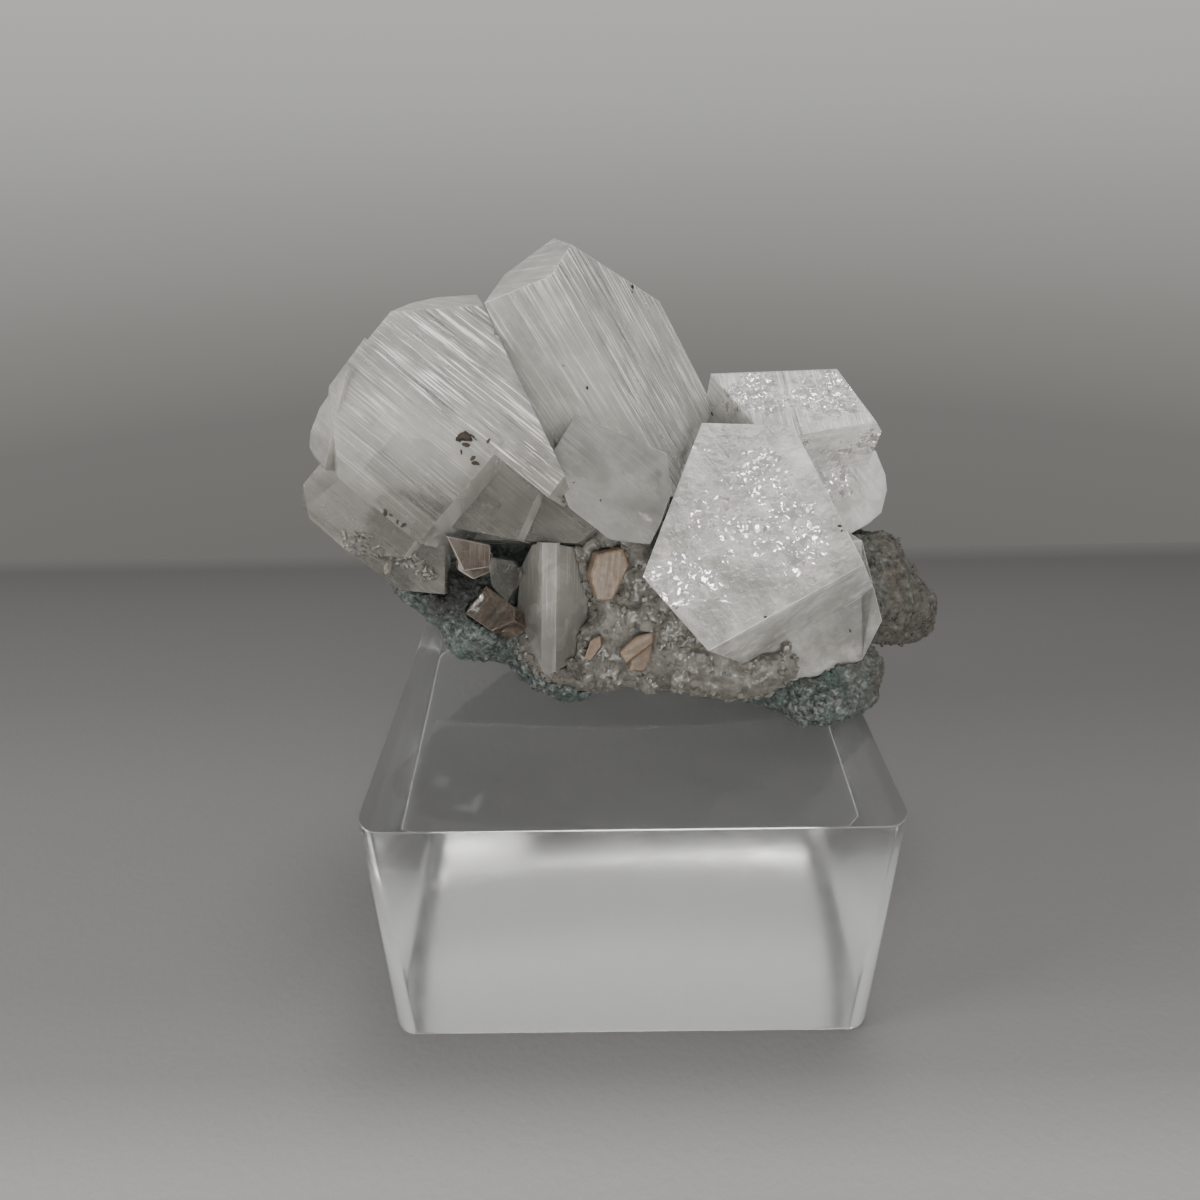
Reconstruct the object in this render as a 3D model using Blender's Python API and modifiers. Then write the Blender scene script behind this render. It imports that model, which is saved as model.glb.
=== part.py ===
"""Apophyllite cluster on a clear display block.

Square-prism crystals of apophyllite, with a few blades of stilbite, stand on a
piece of dark matrix. The matrix rests on a clear acrylic block. The origin is
the centre of the block's underside, X to the right, Y away from the front.
"""
import math
from dataclasses import dataclass
from random import Random

import bmesh
import bpy
from mathutils import Matrix, Vector, noise

MM = 0.001
OBJECT_NAME = "apophyllite_cluster"

# Display block
BLOCK_SIDE = 50.0
BLOCK_HEIGHT = 28.3
BLOCK_CORNER_RADIUS = 2.6
BLOCK_CORNER_STEPS = 6

# Clearance kept between neighbouring pieces, and the merge distance after cuts
GAP = 0.3
MERGE = 0.005

# Size of the solids that planes cut down to the pieces
STOCK = 120.0

# Apophyllite is tetragonal. Seen on a prism face, each pyramid face meets it
# in a line whose normal lies this far from the long axis, and leans this much.
PYRAMID_TRACE = 51.3
PYRAMID_LEAN = 38.0
PRISM = 90.0


@dataclass(frozen=True)
class Crystal:
    """A block cut from a slab by flat faces.

    anchor: a point on the front face, in mm.
    facing: azimuth and elevation that the front face looks to, in degrees.
    depth: thickness of the slab behind the front face, in mm.
    sides: (angle in the face, lean towards the front, reach from the anchor).
    """
    anchor: tuple
    facing: tuple
    depth: float
    sides: tuple


def along(axis, *faces):
    """Sides given by their angle from the crystal's long axis."""
    return tuple((axis + turn, lean, reach) for turn, lean, reach in faces)


# Big left crystal. Its long axis points up to the left. The upper slab stands
# a little proud of the lower one, and a lobe grew beside them at the far left.
LEFT_AXIS = 146.0
LEFT_FACING = (-12.0, 30.0)
LEFT_UPPER = Crystal(
    anchor=(-19.3, -3.0, 60.1), facing=LEFT_FACING, depth=12.0,
    sides=along(LEFT_AXIS, (-3, 0, 8.6), (-30, 0, 10.8), (-PRISM, 0, 13.0), (180, 0, 15.0),
                (PRISM, 0, -1.2), (-PYRAMID_TRACE, PYRAMID_LEAN, 9.5),
                (-PYRAMID_TRACE, -PYRAMID_LEAN, 14.0), (-115, -10, 9.7)))
LEFT_LOWER = Crystal(
    anchor=(-19.4, -2.7, 60.1), facing=LEFT_FACING, depth=12.0,
    sides=along(LEFT_AXIS, (0, 0, 8.8), (20, 0, 10.4), (-PRISM, 0, 2.0), (177, 0, 8.5),
                (PRISM + 1, 0, 9.9), (PYRAMID_TRACE - 5, PYRAMID_LEAN, 8.8),
                (PYRAMID_TRACE, -PYRAMID_LEAN, 16.0)))
LEFT_END = Crystal(
    anchor=(-27.7, -1.7, 58.9), facing=(-40.0, 26.0), depth=7.0,
    sides=((147, 0, 2.8), (166, 0, 3.0), (-165, 0, 3.9), (-130, 0, 4.5), (-112, 0, 4.5),
           (0, 0, 0.0)))
LEFT_LOBE = Crystal(
    anchor=(-27.2, -3.0, 51.2), facing=LEFT_FACING, depth=9.0,
    sides=along(LEFT_AXIS, (-3, 0, 4.9), (-PRISM, 0, 3.0), (180, 0, 8.0), (PRISM, 0, 4.1),
                (PYRAMID_TRACE, PYRAMID_LEAN, 4.6), (PYRAMID_TRACE, -PYRAMID_LEAN, 10.0),
                (125, 0, 5.3)))
LEFT_STEP = Crystal(
    anchor=(-12.2, -4.5, 51.6), facing=LEFT_FACING, depth=8.0,
    sides=((69, 0, 5.5), (-20, 0, 3.2), (-96, 0, 3.5), (150, 0, 8.0)))
LEFT_FOOT = Crystal(
    anchor=(-6.5, -4.0, 49.7), facing=LEFT_FACING, depth=7.0,
    sides=((43, 0, 2.8), (-47, 0, 3.3), (-88, 0, 2.7), (150, 0, 6.0), (100, 0, 5.0)))
LEFT_CORNER = Crystal(
    anchor=(-21.0, -5.5, 45.7), facing=(-4.0, 24.0), depth=7.0,
    sides=((92, 0, 1.4), (0, 0, 3.0), (-94, 0, 3.1), (-126, 0, 3.3), (180, 0, 6.0)))

# Tall centre crystal. One prism face looks to the front, the striated one up.
CENTRE_AXIS = 112.0
CENTRE_TALL = Crystal(
    anchor=(-6.6, -5.0, 72.3), facing=(-20.0, -22.0), depth=14.8,
    sides=along(CENTRE_AXIS, (0, 0, -0.4), (-PRISM, 0, 0.0), (PRISM - 11, 0, 7.4),
                (180, 0, 26.0), (-PYRAMID_TRACE, -PYRAMID_LEAN, 3.9), (PYRAMID_TRACE, -PYRAMID_LEAN, 9.5)))
CENTRE_FOOT = Crystal(
    anchor=(-1.4, -5.4, 51.8), facing=(10.0, 42.0), depth=9.0,
    sides=((144, 0, 7.2), (60, 35, 6.7), (-2, 0, 5.9), (-34, 0, 5.2), (-103, -30, 4.0),
           (-135, -30, 3.3), (-169, 0, 4.2)))

# Bright crystal in front on the right, its long axis down to the left, and
# the block under it that runs down to the matrix.
FRONT_RIGHT = Crystal(
    anchor=(11.4, -9.0, 49.0), facing=(-8.0, 56.0), depth=8.0,
    sides=((-55, 0, 7.6), (-138, -28, 10.2), (166, 0, 8.3), (90, 0, 13.7), (22, 20, 8.8)))
FRONT_BASE = Crystal(
    anchor=(19.2, -8.5, 38.8), facing=(8.0, 8.0), depth=10.0,
    sides=((18, 0, 6.3), (-23, 0, 5.8), (-74, 0, 4.9), (-85, 0, 5.1), (180, 0, 6.5),
           (90, 0, 9.0)))

# Crystal behind it on the right, with the lobe at its foot.
BACK_RIGHT = Crystal(
    anchor=(16.9, 9.0, 57.7), facing=(5.0, 62.0), depth=15.0,
    sides=((90, 0, 3.8), (15, 35, 7.9), (0, 0, 10.6), (-80, 0, 6.0), (-157, 0, 4.9),
           (60, 38, 7.5)))
BACK_LOBE = Crystal(
    anchor=(27.5, 8.0, 46.5), facing=(15.0, 25.0), depth=9.0,
    sides=((84, 0, 5.0), (18, 0, 3.0), (0, 0, 2.5), (-22, 0, 2.2), (-59, 0, 2.6), (-70, 0, 2.9),
           (174, 0, 7.0)))

# Clear upright crystal low in the middle, with a narrow striated face.
LOWER_CENTRE = Crystal(
    anchor=(-7.7, -8.0, 42.4), facing=(-5.0, 20.0), depth=8.0,
    sides=((90, 0, 5.6), (180, 40, 0.7), (0, 32, 0.7), (173, 0, 3.7), (20, 0, 4.6),
           (150, 0, 4.3), (-9, 0, 4.6), (-30, 0, 5.6), (-69, 0, 7.0), (-148, 0, 4.3)))

# Small crystals at the left of it
SMALL_BROWN = Crystal(
    anchor=(-13.6, -8.0, 41.6), facing=(-20.0, 40.0), depth=4.5,
    sides=((166, 0, 2.9), (115, 0, 2.6), (65, 0, 1.5), (14, 0, 2.6), (-58, 0, 2.3),
           (-112, 0, 1.8), (-161, 0, 2.7), (150, 40, 1.6)))
BROWN_PLATE = Crystal(
    anchor=(-15.4, -7.0, 47.0), facing=(20.0, 15.0), depth=1.6,
    sides=((-163, 0, 1.1), (-91, 0, 1.6), (-11, 0, 2.2), (69, 0, 1.3)))
BROWN_PLATE_LOWER = Crystal(
    anchor=(-15.2, -6.4, 45.2), facing=(20.0, 15.0), depth=1.4,
    sides=((-132, 0, 0.9), (-77, 0, 1.1), (-4, 0, 2.1), (80, 0, 1.6), (170, 0, 1.4)))
SMALL_CLEAR = Crystal(
    anchor=(-12.1, -7.5, 44.7), facing=(0.0, 25.0), depth=3.2,
    sides=((80, 0, 1.7), (35, 0, 1.7), (-29, 0, 1.5), (-136, 0, 1.4), (-170, 0, 1.2)))

# Stilbite blades
STILBITE_BLADE = Crystal(
    anchor=(-1.7, -7.6, 44.9), facing=(10.0, 20.0), depth=3.0,
    sides=((97, 0, 2.2), (13, 0, 2.1), (-29, 0, 1.4), (-96, 0, 2.6), (-167, 0, 1.9),
           (159, 0, 1.8)))
FAN_BLADES = (
    Crystal(anchor=(-0.6, -9.4, 39.1), facing=(5.0, 35.0), depth=1.2,
            sides=((105, 0, 0.4), (7, 0, 1.7), (-74, 0, 0.4), (-145, 0, 1.2))),
    Crystal(anchor=(0.8, -10.2, 38.3), facing=(5.0, 30.0), depth=1.6,
            sides=((128, 0, 0.6), (101, 0, 0.9), (-9, 0, 1.7), (-56, 0, 0.8), (-157, 0, 1.7))),
    Crystal(anchor=(1.4, -10.1, 36.9), facing=(12.0, 25.0), depth=1.3,
            sides=((110, 0, 1.6), (-15, 0, 0.9), (-31, 0, 0.9), (-101, 0, 1.4), (163, 0, 1.0))))
SMALL_BLADE = Crystal(
    anchor=(-3.6, -9.0, 37.3), facing=(-10.0, 30.0), depth=1.3,
    sides=((166, 0, 0.4), (121, 0, 0.8), (10, 0, 1.0), (-32, 0, 0.6), (-104, 0, 1.2)))


@dataclass(frozen=True)
class Lump:
    """An ellipsoid that a rock is built up from: centre, radii and tilt about Y."""
    centre: tuple
    radii: tuple
    tilt: float = 0.0


# The matrix rests on the block at three places and is arched between them.
MATRIX_LUMPS = (
    Lump((-15.8, 1.5, 39.0), (14.5, 8.5, 5.2), 43.0),
    Lump((-7.5, -1.5, 34.0), (6.0, 5.5, 6.2), 20.0),
    Lump((1.0, 5.0, 37.0), (15.0, 8.5, 7.8)),
    Lump((12.0, -2.0, 33.0), (11.0, 6.5, 3.8), -6.0),
    Lump((20.5, -5.5, 31.5), (6.5, 6.0, 3.8), -8.0),
    Lump((22.0, 6.0, 36.0), (12.0, 8.5, 6.5), -4.0),
    Lump((30.4, 7.0, 33.6), (6.4, 6.0, 4.6), 20.0),
    Lump((6.0, 10.0, 41.0), (17.0, 6.0, 12.0), -10.0),
    Lump((-5.0, 7.0, 46.0), (10.0, 6.0, 10.0), 20.0))
MATRIX_VOXEL = 1.6
MATRIX_ROUGHNESS = 1.0
NOISE_SHIFT = Vector((3.7, 1.9, 8.2))
# Layers of the rocky relief: features to a mm, and share of the roughness
COARSE = (0.22, 1.5)
RIDGED = (0.45, 1.0)
FINE = (1.3, 0.5)
LUMP_SEGMENTS = 24
LUMP_RINGS = 14

# The drusy skin lies on the front of the matrix, under the big crystals.
CRUST_LUMPS = (
    Lump((-4.0, -3.5, 34.5), (8.5, 4.6, 4.6), 8.0),
    Lump((3.5, -4.5, 36.5), (8.0, 4.2, 6.5)),
    Lump((0.0, -2.0, 43.5), (7.0, 4.0, 5.0)),
    Lump((11.5, -7.5, 34.5), (7.5, 3.6, 3.4), -8.0))
CRUST_SEED = 7
CRUST_VOXEL = 1.3
CRUST_ROUGHNESS = 0.35
CRUST_CRYSTALS = 26
CRUST_CRYSTAL_SIZE = (1.2, 2.3)
CRUST_CRYSTAL_WIDTH = 0.8
CRUST_CRYSTAL_LENGTH = (0.8, 1.3)
# Which faces of the skin carry crystals: those that look to the front, not down
FRONT_MOST = -0.35
DOWN_MOST = -0.5


def to_mm_matrix():
    """Scale from millimetres to metres."""
    return Matrix.Scale(MM, 4)


def face_frame(facing):
    """Right, up and outward directions of a face that looks to an azimuth and elevation."""
    azimuth, elevation = (math.radians(value) for value in facing)
    outward = Vector((math.sin(azimuth) * math.cos(elevation),
                      -math.cos(azimuth) * math.cos(elevation), math.sin(elevation)))
    right = Vector((math.cos(azimuth), math.sin(azimuth), 0.0))
    return right, outward.cross(right), outward


def cut_away(bm, point, normal):
    """Cut off what lies beyond a plane and close the cut."""
    geometry = bm.verts[:] + bm.edges[:] + bm.faces[:]
    result = bmesh.ops.bisect_plane(bm, geom=geometry, dist=1e-5, plane_co=point,
                                    plane_no=normal, clear_outer=True)
    edges = [item for item in result["geom_cut"] if isinstance(item, bmesh.types.BMEdge)]
    if edges:
        bmesh.ops.contextual_create(bm, geom=edges)


def crystal_mesh(name, crystal, grow=0.0):
    """Mesh of one crystal in metres, every face moved out by grow (mm)."""
    right, up, outward = face_frame(crystal.facing)
    anchor = Vector(crystal.anchor)
    bm = bmesh.new()
    bmesh.ops.create_cube(bm, size=STOCK, matrix=Matrix.Translation(anchor))
    cut_away(bm, anchor + outward * grow, outward)
    cut_away(bm, anchor - outward * (crystal.depth + grow), -outward)
    for angle, lean, reach in crystal.sides:
        turn = math.radians(angle)
        in_face = right * math.cos(turn) + up * math.sin(turn)
        normal = in_face * math.cos(math.radians(lean)) + outward * math.sin(math.radians(lean))
        cut_away(bm, anchor + in_face * reach + normal * grow, normal)
    bm.transform(to_mm_matrix())
    mesh = bpy.data.meshes.new(name)
    bmesh.ops.recalc_face_normals(bm, faces=bm.faces[:])
    bm.to_mesh(mesh)
    bm.free()
    return mesh


def collection(name):
    """A new collection under the scene's own."""
    made = bpy.data.collections.new(name)
    bpy.context.scene.collection.children.link(made)
    return made


def add_object(name, mesh, home):
    """Link a mesh to a collection as an object."""
    obj = bpy.data.objects.new(name, mesh)
    home.objects.link(obj)
    return obj


def evaluated_mesh(obj):
    """The object's mesh with its modifiers applied."""
    bpy.context.view_layer.update()
    graph = bpy.context.evaluated_depsgraph_get()
    return bpy.data.meshes.new_from_object(obj.evaluated_get(graph))


def apply_modifiers(obj):
    """Replace the object's mesh by its evaluated one."""
    mesh = evaluated_mesh(obj)
    obj.modifiers.clear()
    obj.data = mesh


def add_cutters(name, meshes):
    """A hidden collection of cutters, one for each mesh."""
    home = collection(name)
    for number, mesh in enumerate(meshes):
        cutter = add_object(f"{name}_{number}", mesh, home)
        cutter.hide_render = True
        cutter.display_type = "WIRE"
    return home


def boolean(obj, meshes, operation):
    """Cut the object by, or join it with, a list of meshes."""
    cutters = add_cutters(f"{obj.name}_{operation.lower()}", meshes)
    modifier = obj.modifiers.new(operation.title(), "BOOLEAN")
    modifier.operation = operation
    modifier.solver = "EXACT"
    modifier.operand_type = "COLLECTION"
    modifier.collection = cutters
    apply_modifiers(obj)


def face_bodies(bm):
    """Groups of faces that are joined across shared edges."""
    bodies, seen = [], set()
    for start in bm.faces:
        if start in seen:
            continue
        body, stack = [], [start]
        seen.add(start)
        while stack:
            face = stack.pop()
            body.append(face)
            for edge in face.edges:
                if len(edge.link_faces) != 2:
                    continue
                for other in edge.link_faces:
                    if other not in seen:
                        seen.add(other)
                        stack.append(other)
        bodies.append(body)
    return bodies


def tidy_mesh(obj):
    """Merge what the cuts left doubled and keep the largest connected body."""
    bm = bmesh.new()
    bm.from_mesh(obj.data)
    bmesh.ops.remove_doubles(bm, verts=bm.verts[:], dist=MERGE * MM)
    bmesh.ops.dissolve_degenerate(bm, edges=bm.edges[:], dist=MERGE * MM)
    bmesh.ops.triangulate(bm, faces=bm.faces[:])
    bodies = face_bodies(bm)
    largest = max(bodies, key=len)
    loose = [face for body in bodies if body is not largest for face in body]
    bmesh.ops.delete(bm, geom=loose, context="FACES")
    bmesh.ops.recalc_face_normals(bm, faces=bm.faces[:])
    bm.to_mesh(obj.data)
    bm.free()


def lump_mesh(name, lumps, voxel, roughness, grow=0.0):
    """One closed rocky skin round a set of overlapping ellipsoids."""
    bm = bmesh.new()
    for lump in lumps:
        radii = [radius + grow for radius in lump.radii]
        place = (Matrix.Translation(lump.centre)
                 @ Matrix.Rotation(math.radians(lump.tilt), 4, "Y")
                 @ Matrix.Diagonal((*radii, 1.0)))
        bmesh.ops.create_uvsphere(bm, u_segments=LUMP_SEGMENTS, v_segments=LUMP_RINGS,
                                  radius=1.0, matrix=place)
    bm.transform(to_mm_matrix())
    mesh = bpy.data.meshes.new(name)
    bm.to_mesh(mesh)
    bm.free()
    helper = add_object(f"{name}_lumps", mesh, bpy.context.scene.collection)
    remesh = helper.modifiers.new("Remesh", "REMESH")
    remesh.mode = "VOXEL"
    remesh.voxel_size = voxel * MM
    skin = evaluated_mesh(helper)
    bpy.data.objects.remove(helper)
    roughen(skin, roughness)
    return skin


def roughen(mesh, amount):
    """Move the points along their normals by coarse and fine noise."""
    normals = [vert.normal.copy() for vert in mesh.vertices]
    for vert, normal in zip(mesh.vertices, normals):
        place = vert.co / MM + NOISE_SHIFT
        relief = COARSE[1] * noise.noise(place * COARSE[0])
        relief += RIDGED[1] * (0.5 - abs(noise.noise(place * RIDGED[0])))
        relief += FINE[1] * noise.noise(place * FINE[0])
        vert.co += normal * MM * amount * relief


def crust_crystal_meshes(skin, grow=0.0):
    """Small square crystals that stand out of the front of the drusy skin."""
    random = Random(CRUST_SEED)
    fronts = [poly for poly in skin.polygons
              if poly.normal.y < FRONT_MOST and poly.normal.z > DOWN_MOST]
    meshes = []
    for number in range(CRUST_CRYSTALS):
        poly = random.choice(fronts)
        size = random.uniform(*CRUST_CRYSTAL_SIZE)
        angle = random.uniform(0, math.tau)
        axis = Vector([random.uniform(-1, 1) for _ in range(3)]).normalized()
        turn = Matrix.Rotation(angle, 4, axis)
        stretch = Matrix.Diagonal((size + 2 * grow, size * CRUST_CRYSTAL_WIDTH + 2 * grow,
                                   size * random.uniform(*CRUST_CRYSTAL_LENGTH) + 2 * grow, 1.0))
        place = Matrix.Translation(poly.center / MM)
        bm = bmesh.new()
        bmesh.ops.create_cube(bm, size=1.0, matrix=place @ turn @ stretch)
        bm.transform(to_mm_matrix())
        mesh = bpy.data.meshes.new(f"crust_crystal_{number}")
        bm.to_mesh(mesh)
        bm.free()
        meshes.append(mesh)
    return meshes


def slab_mesh(name, low, high):
    """A box between two heights, wider than the whole object."""
    bm = bmesh.new()
    bmesh.ops.create_cube(bm, size=1.0)
    place = Matrix.Translation((0, 0, (low + high) / 2))
    bm.transform(place @ Matrix.Diagonal((STOCK, STOCK, high - low, 1)))
    bm.transform(to_mm_matrix())
    mesh = bpy.data.meshes.new(name)
    bm.to_mesh(mesh)
    bm.free()
    return mesh


def material(name, colour, roughness, transmission=0.0, ior=1.45):
    """A plain Principled material."""
    made = bpy.data.materials.new(name)
    made.use_nodes = True
    shader = made.node_tree.nodes["Principled BSDF"]
    shader.inputs["Base Color"].default_value = (*colour, 1.0)
    shader.inputs["Roughness"].default_value = roughness
    shader.inputs["Transmission Weight"].default_value = transmission
    shader.inputs["IOR"].default_value = ior
    made.diffuse_color = (*colour, 1.0)
    return made


def make_block(home, finish):
    """The display block: a square slab with rounded upright edges."""
    half = BLOCK_SIDE / 2 - BLOCK_CORNER_RADIUS
    outline = []
    for quarter, (x, y) in enumerate(((half, half), (-half, half), (-half, -half), (half, -half))):
        for step in range(BLOCK_CORNER_STEPS + 1):
            turn = math.radians(90 * (quarter + step / BLOCK_CORNER_STEPS))
            outline.append((x + BLOCK_CORNER_RADIUS * math.cos(turn),
                            y + BLOCK_CORNER_RADIUS * math.sin(turn)))
    curve = bpy.data.curves.new("block_outline", "CURVE")
    curve.dimensions = "2D"
    curve.fill_mode = "BOTH"
    curve.extrude = BLOCK_HEIGHT / 2 * MM
    spline = curve.splines.new("POLY")
    spline.points.add(len(outline) - 1)
    for point, (x, y) in zip(spline.points, outline):
        point.co = (x * MM, y * MM, 0.0, 1.0)
    spline.use_cyclic_u = True
    guide = add_object("block_outline", curve, home)
    mesh = evaluated_mesh(guide)
    bpy.data.objects.remove(guide)
    bm = bmesh.new()
    bm.from_mesh(mesh)
    bmesh.ops.remove_doubles(bm, verts=bm.verts[:], dist=MERGE * MM)
    bm.transform(Matrix.Translation((0, 0, BLOCK_HEIGHT / 2 * MM)))
    bmesh.ops.recalc_face_normals(bm, faces=bm.faces[:])
    bm.to_mesh(mesh)
    bm.free()
    block = add_object("display_block", mesh, home)
    block.data.materials.append(finish)


def make_crystal_node(name, members, neighbours, home, finish):
    """Join the members and cut them back from the neighbours that stand already."""
    first, *others = members
    obj = add_object(name, crystal_mesh(name, first), home)
    if others:
        boolean(obj, [crystal_mesh(name, other) for other in others], "UNION")
    if neighbours:
        boolean(obj, [crystal_mesh(name, other, GAP) for other in neighbours], "DIFFERENCE")
    tidy_mesh(obj)
    obj.data.materials.append(finish)
    return obj


def make_crust(home, members, finish):
    """The drusy skin with its small crystals."""
    skin = lump_mesh("drusy_crust", CRUST_LUMPS, CRUST_VOXEL, CRUST_ROUGHNESS)
    crystals = crust_crystal_meshes(skin)
    grown = [lump_mesh("crust_room", CRUST_LUMPS, CRUST_VOXEL, CRUST_ROUGHNESS, GAP)]
    grown += crust_crystal_meshes(skin, GAP)
    crust = add_object("drusy_crust", skin, home)
    boolean(crust, crystals, "UNION")
    room = [crystal_mesh("room", other, GAP) for other in members]
    boolean(crust, room + [slab_mesh("below", 0.0, BLOCK_HEIGHT + GAP)], "DIFFERENCE")
    tidy_mesh(crust)
    crust.data.materials.append(finish)
    return grown


def make_matrix(home, members, crust_room, finish):
    """The rock that carries everything."""
    skin = lump_mesh("matrix", MATRIX_LUMPS, MATRIX_VOXEL, MATRIX_ROUGHNESS)
    rock = add_object("matrix", skin, home)
    room = [crystal_mesh("room", other, GAP) for other in members]
    boolean(rock, crust_room + room + [slab_mesh("below", 0.0, BLOCK_HEIGHT + GAP)], "DIFFERENCE")
    tidy_mesh(rock)
    rock.data.materials.append(finish)


def clear_scene():
    """Remove every object that is there."""
    for obj in list(bpy.data.objects):
        bpy.data.objects.remove(obj)


def build():
    """Build every piece."""
    clear_scene()
    home = collection(OBJECT_NAME)
    acrylic = material("clear acrylic", (0.95, 0.97, 0.97), 0.02, 1.0, 1.49)
    crystal = material("milky apophyllite", (0.82, 0.86, 0.84), 0.15, 0.8, 1.535)
    brown = material("brown apophyllite", (0.35, 0.24, 0.15), 0.15, 0.7, 1.535)
    peach = material("stilbite", (0.72, 0.52, 0.38), 0.4)
    glassy = material("drusy crust", (0.42, 0.42, 0.36), 0.3, 0.4)
    rock = material("matrix rock", (0.10, 0.13, 0.11), 0.8)

    make_block(home, acrylic)
    nodes = (
        ("front_right_crystal", (FRONT_RIGHT, FRONT_BASE), crystal),
        ("centre_crystal", (CENTRE_TALL, CENTRE_FOOT), crystal),
        ("left_crystals", (LEFT_UPPER, LEFT_LOWER, LEFT_END, LEFT_LOBE, LEFT_STEP, LEFT_FOOT,
                           LEFT_CORNER), crystal),
        ("lower_centre_crystal", (LOWER_CENTRE,), crystal),
        ("back_right_crystal", (BACK_RIGHT, BACK_LOBE), crystal),
        ("small_brown_crystal", (SMALL_BROWN,), brown),
        ("brown_plate_crystal", (BROWN_PLATE, BROWN_PLATE_LOWER), brown),
        ("small_clear_crystal", (SMALL_CLEAR,), crystal),
        ("stilbite_blade", (STILBITE_BLADE,), peach),
        ("stilbite_fan", FAN_BLADES, peach),
        ("small_stilbite_blade", (SMALL_BLADE,), peach),
    )
    placed = []
    for name, members, finish in nodes:
        make_crystal_node(name, members, placed, home, finish)
        placed.extend(members)
    crust_room = make_crust(home, placed, glassy)
    make_matrix(home, placed, crust_room, rock)


build()
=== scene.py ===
"""Looks of an apophyllite cluster on its clear display block.

Milky square-prism crystals with fine growth lines stand on a green-grey
matrix with a drusy skin and a few blades of stilbite. Every piece rides the
one body, in metres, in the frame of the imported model.
"""
import logging
import math
from bisect import bisect_right
from dataclasses import dataclass
from enum import Enum
from random import Random
from typing import Any, Iterable

import bmesh
import bpy
from mathutils import Matrix, Vector, noise
from mathutils.bvhtree import BVHTree


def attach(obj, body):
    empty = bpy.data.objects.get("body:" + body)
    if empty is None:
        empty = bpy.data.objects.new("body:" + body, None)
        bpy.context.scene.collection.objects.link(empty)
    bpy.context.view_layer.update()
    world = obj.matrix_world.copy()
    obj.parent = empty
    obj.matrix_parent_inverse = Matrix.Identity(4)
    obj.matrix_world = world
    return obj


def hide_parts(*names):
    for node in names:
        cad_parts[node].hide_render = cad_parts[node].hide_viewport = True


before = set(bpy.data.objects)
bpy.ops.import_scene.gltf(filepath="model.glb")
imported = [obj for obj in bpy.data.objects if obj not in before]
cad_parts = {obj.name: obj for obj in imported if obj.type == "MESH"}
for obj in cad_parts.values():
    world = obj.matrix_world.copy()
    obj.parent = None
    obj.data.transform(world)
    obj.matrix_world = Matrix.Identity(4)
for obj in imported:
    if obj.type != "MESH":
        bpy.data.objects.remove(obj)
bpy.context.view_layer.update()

log = logging.getLogger("apophyllite_cluster")

MM = 0.001
MERGE = 0.00001
BODY = "root"

# Names of what the meshes carry for the finishes
GROWTH_MAP = "growth"
LINES_MARK = "striae"
RIM_MARK = "rim"
COVER_MARK = "cover"

Triple = tuple[float, float, float]
Pair = tuple[float, float]
Stops = tuple[tuple[float, Triple], ...]


class Facet(Enum):
    """Kinds of crystal face, told apart by their turn from the long axis."""
    PRISM = "prism"
    PYRAMID = "pyramid"
    END = "end"


class Grain(Enum):
    """Small shapes that Geometry Nodes set on a surface."""
    BLOCK = "block"
    LUMP = "lump"


# Node trees


class Value:
    """A node socket whose arithmetic adds Math nodes to its tree."""

    def __init__(self, tree: "Nodes", socket: bpy.types.NodeSocket) -> None:
        """Keep the tree and the socket."""
        self.tree = tree
        self.socket = socket

    def math(self, operation: str, *others: Any) -> "Value":
        """Apply a Math operation with this value first.

        Args:
            operation: name of the Math node's operation.
            others: numbers or values for the other inputs.

        Returns:
            The result as a new value.
        """
        inputs = {0: self, **{index + 1: other for index, other in enumerate(others)}}
        return self.tree.node("ShaderNodeMath", {"operation": operation}, inputs)

    def __add__(self, other: Any) -> "Value":
        """Sum."""
        return self.math("ADD", other)

    __radd__ = __add__

    def __sub__(self, other: Any) -> "Value":
        """Difference."""
        return self.math("SUBTRACT", other)

    def __rsub__(self, other: Any) -> "Value":
        """Difference with this value second."""
        return self.math("MULTIPLY", -1.0).math("ADD", other)

    def __mul__(self, other: Any) -> "Value":
        """Product."""
        return self.math("MULTIPLY", other)

    __rmul__ = __mul__

    def __truediv__(self, other: Any) -> "Value":
        """Quotient."""
        return self.math("DIVIDE", other)

    def clamp(self) -> "Value":
        """The value held between 0 and 1."""
        return self.tree.node("ShaderNodeClamp", {}, {"Value": self})

    def span(self, low: float, high: float, start: float = 0.0, end: float = 1.0) -> "Value":
        """Map low..high smoothly to start..end.

        Args:
            low: value that becomes start.
            high: value that becomes end.
            start: first result.
            end: last result.

        Returns:
            The mapped and clamped value.
        """
        return self.tree.node("ShaderNodeMapRange", {"interpolation_type": "SMOOTHSTEP"},
                              {0: self, 1: low, 2: high, 3: start, 4: end})


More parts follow.
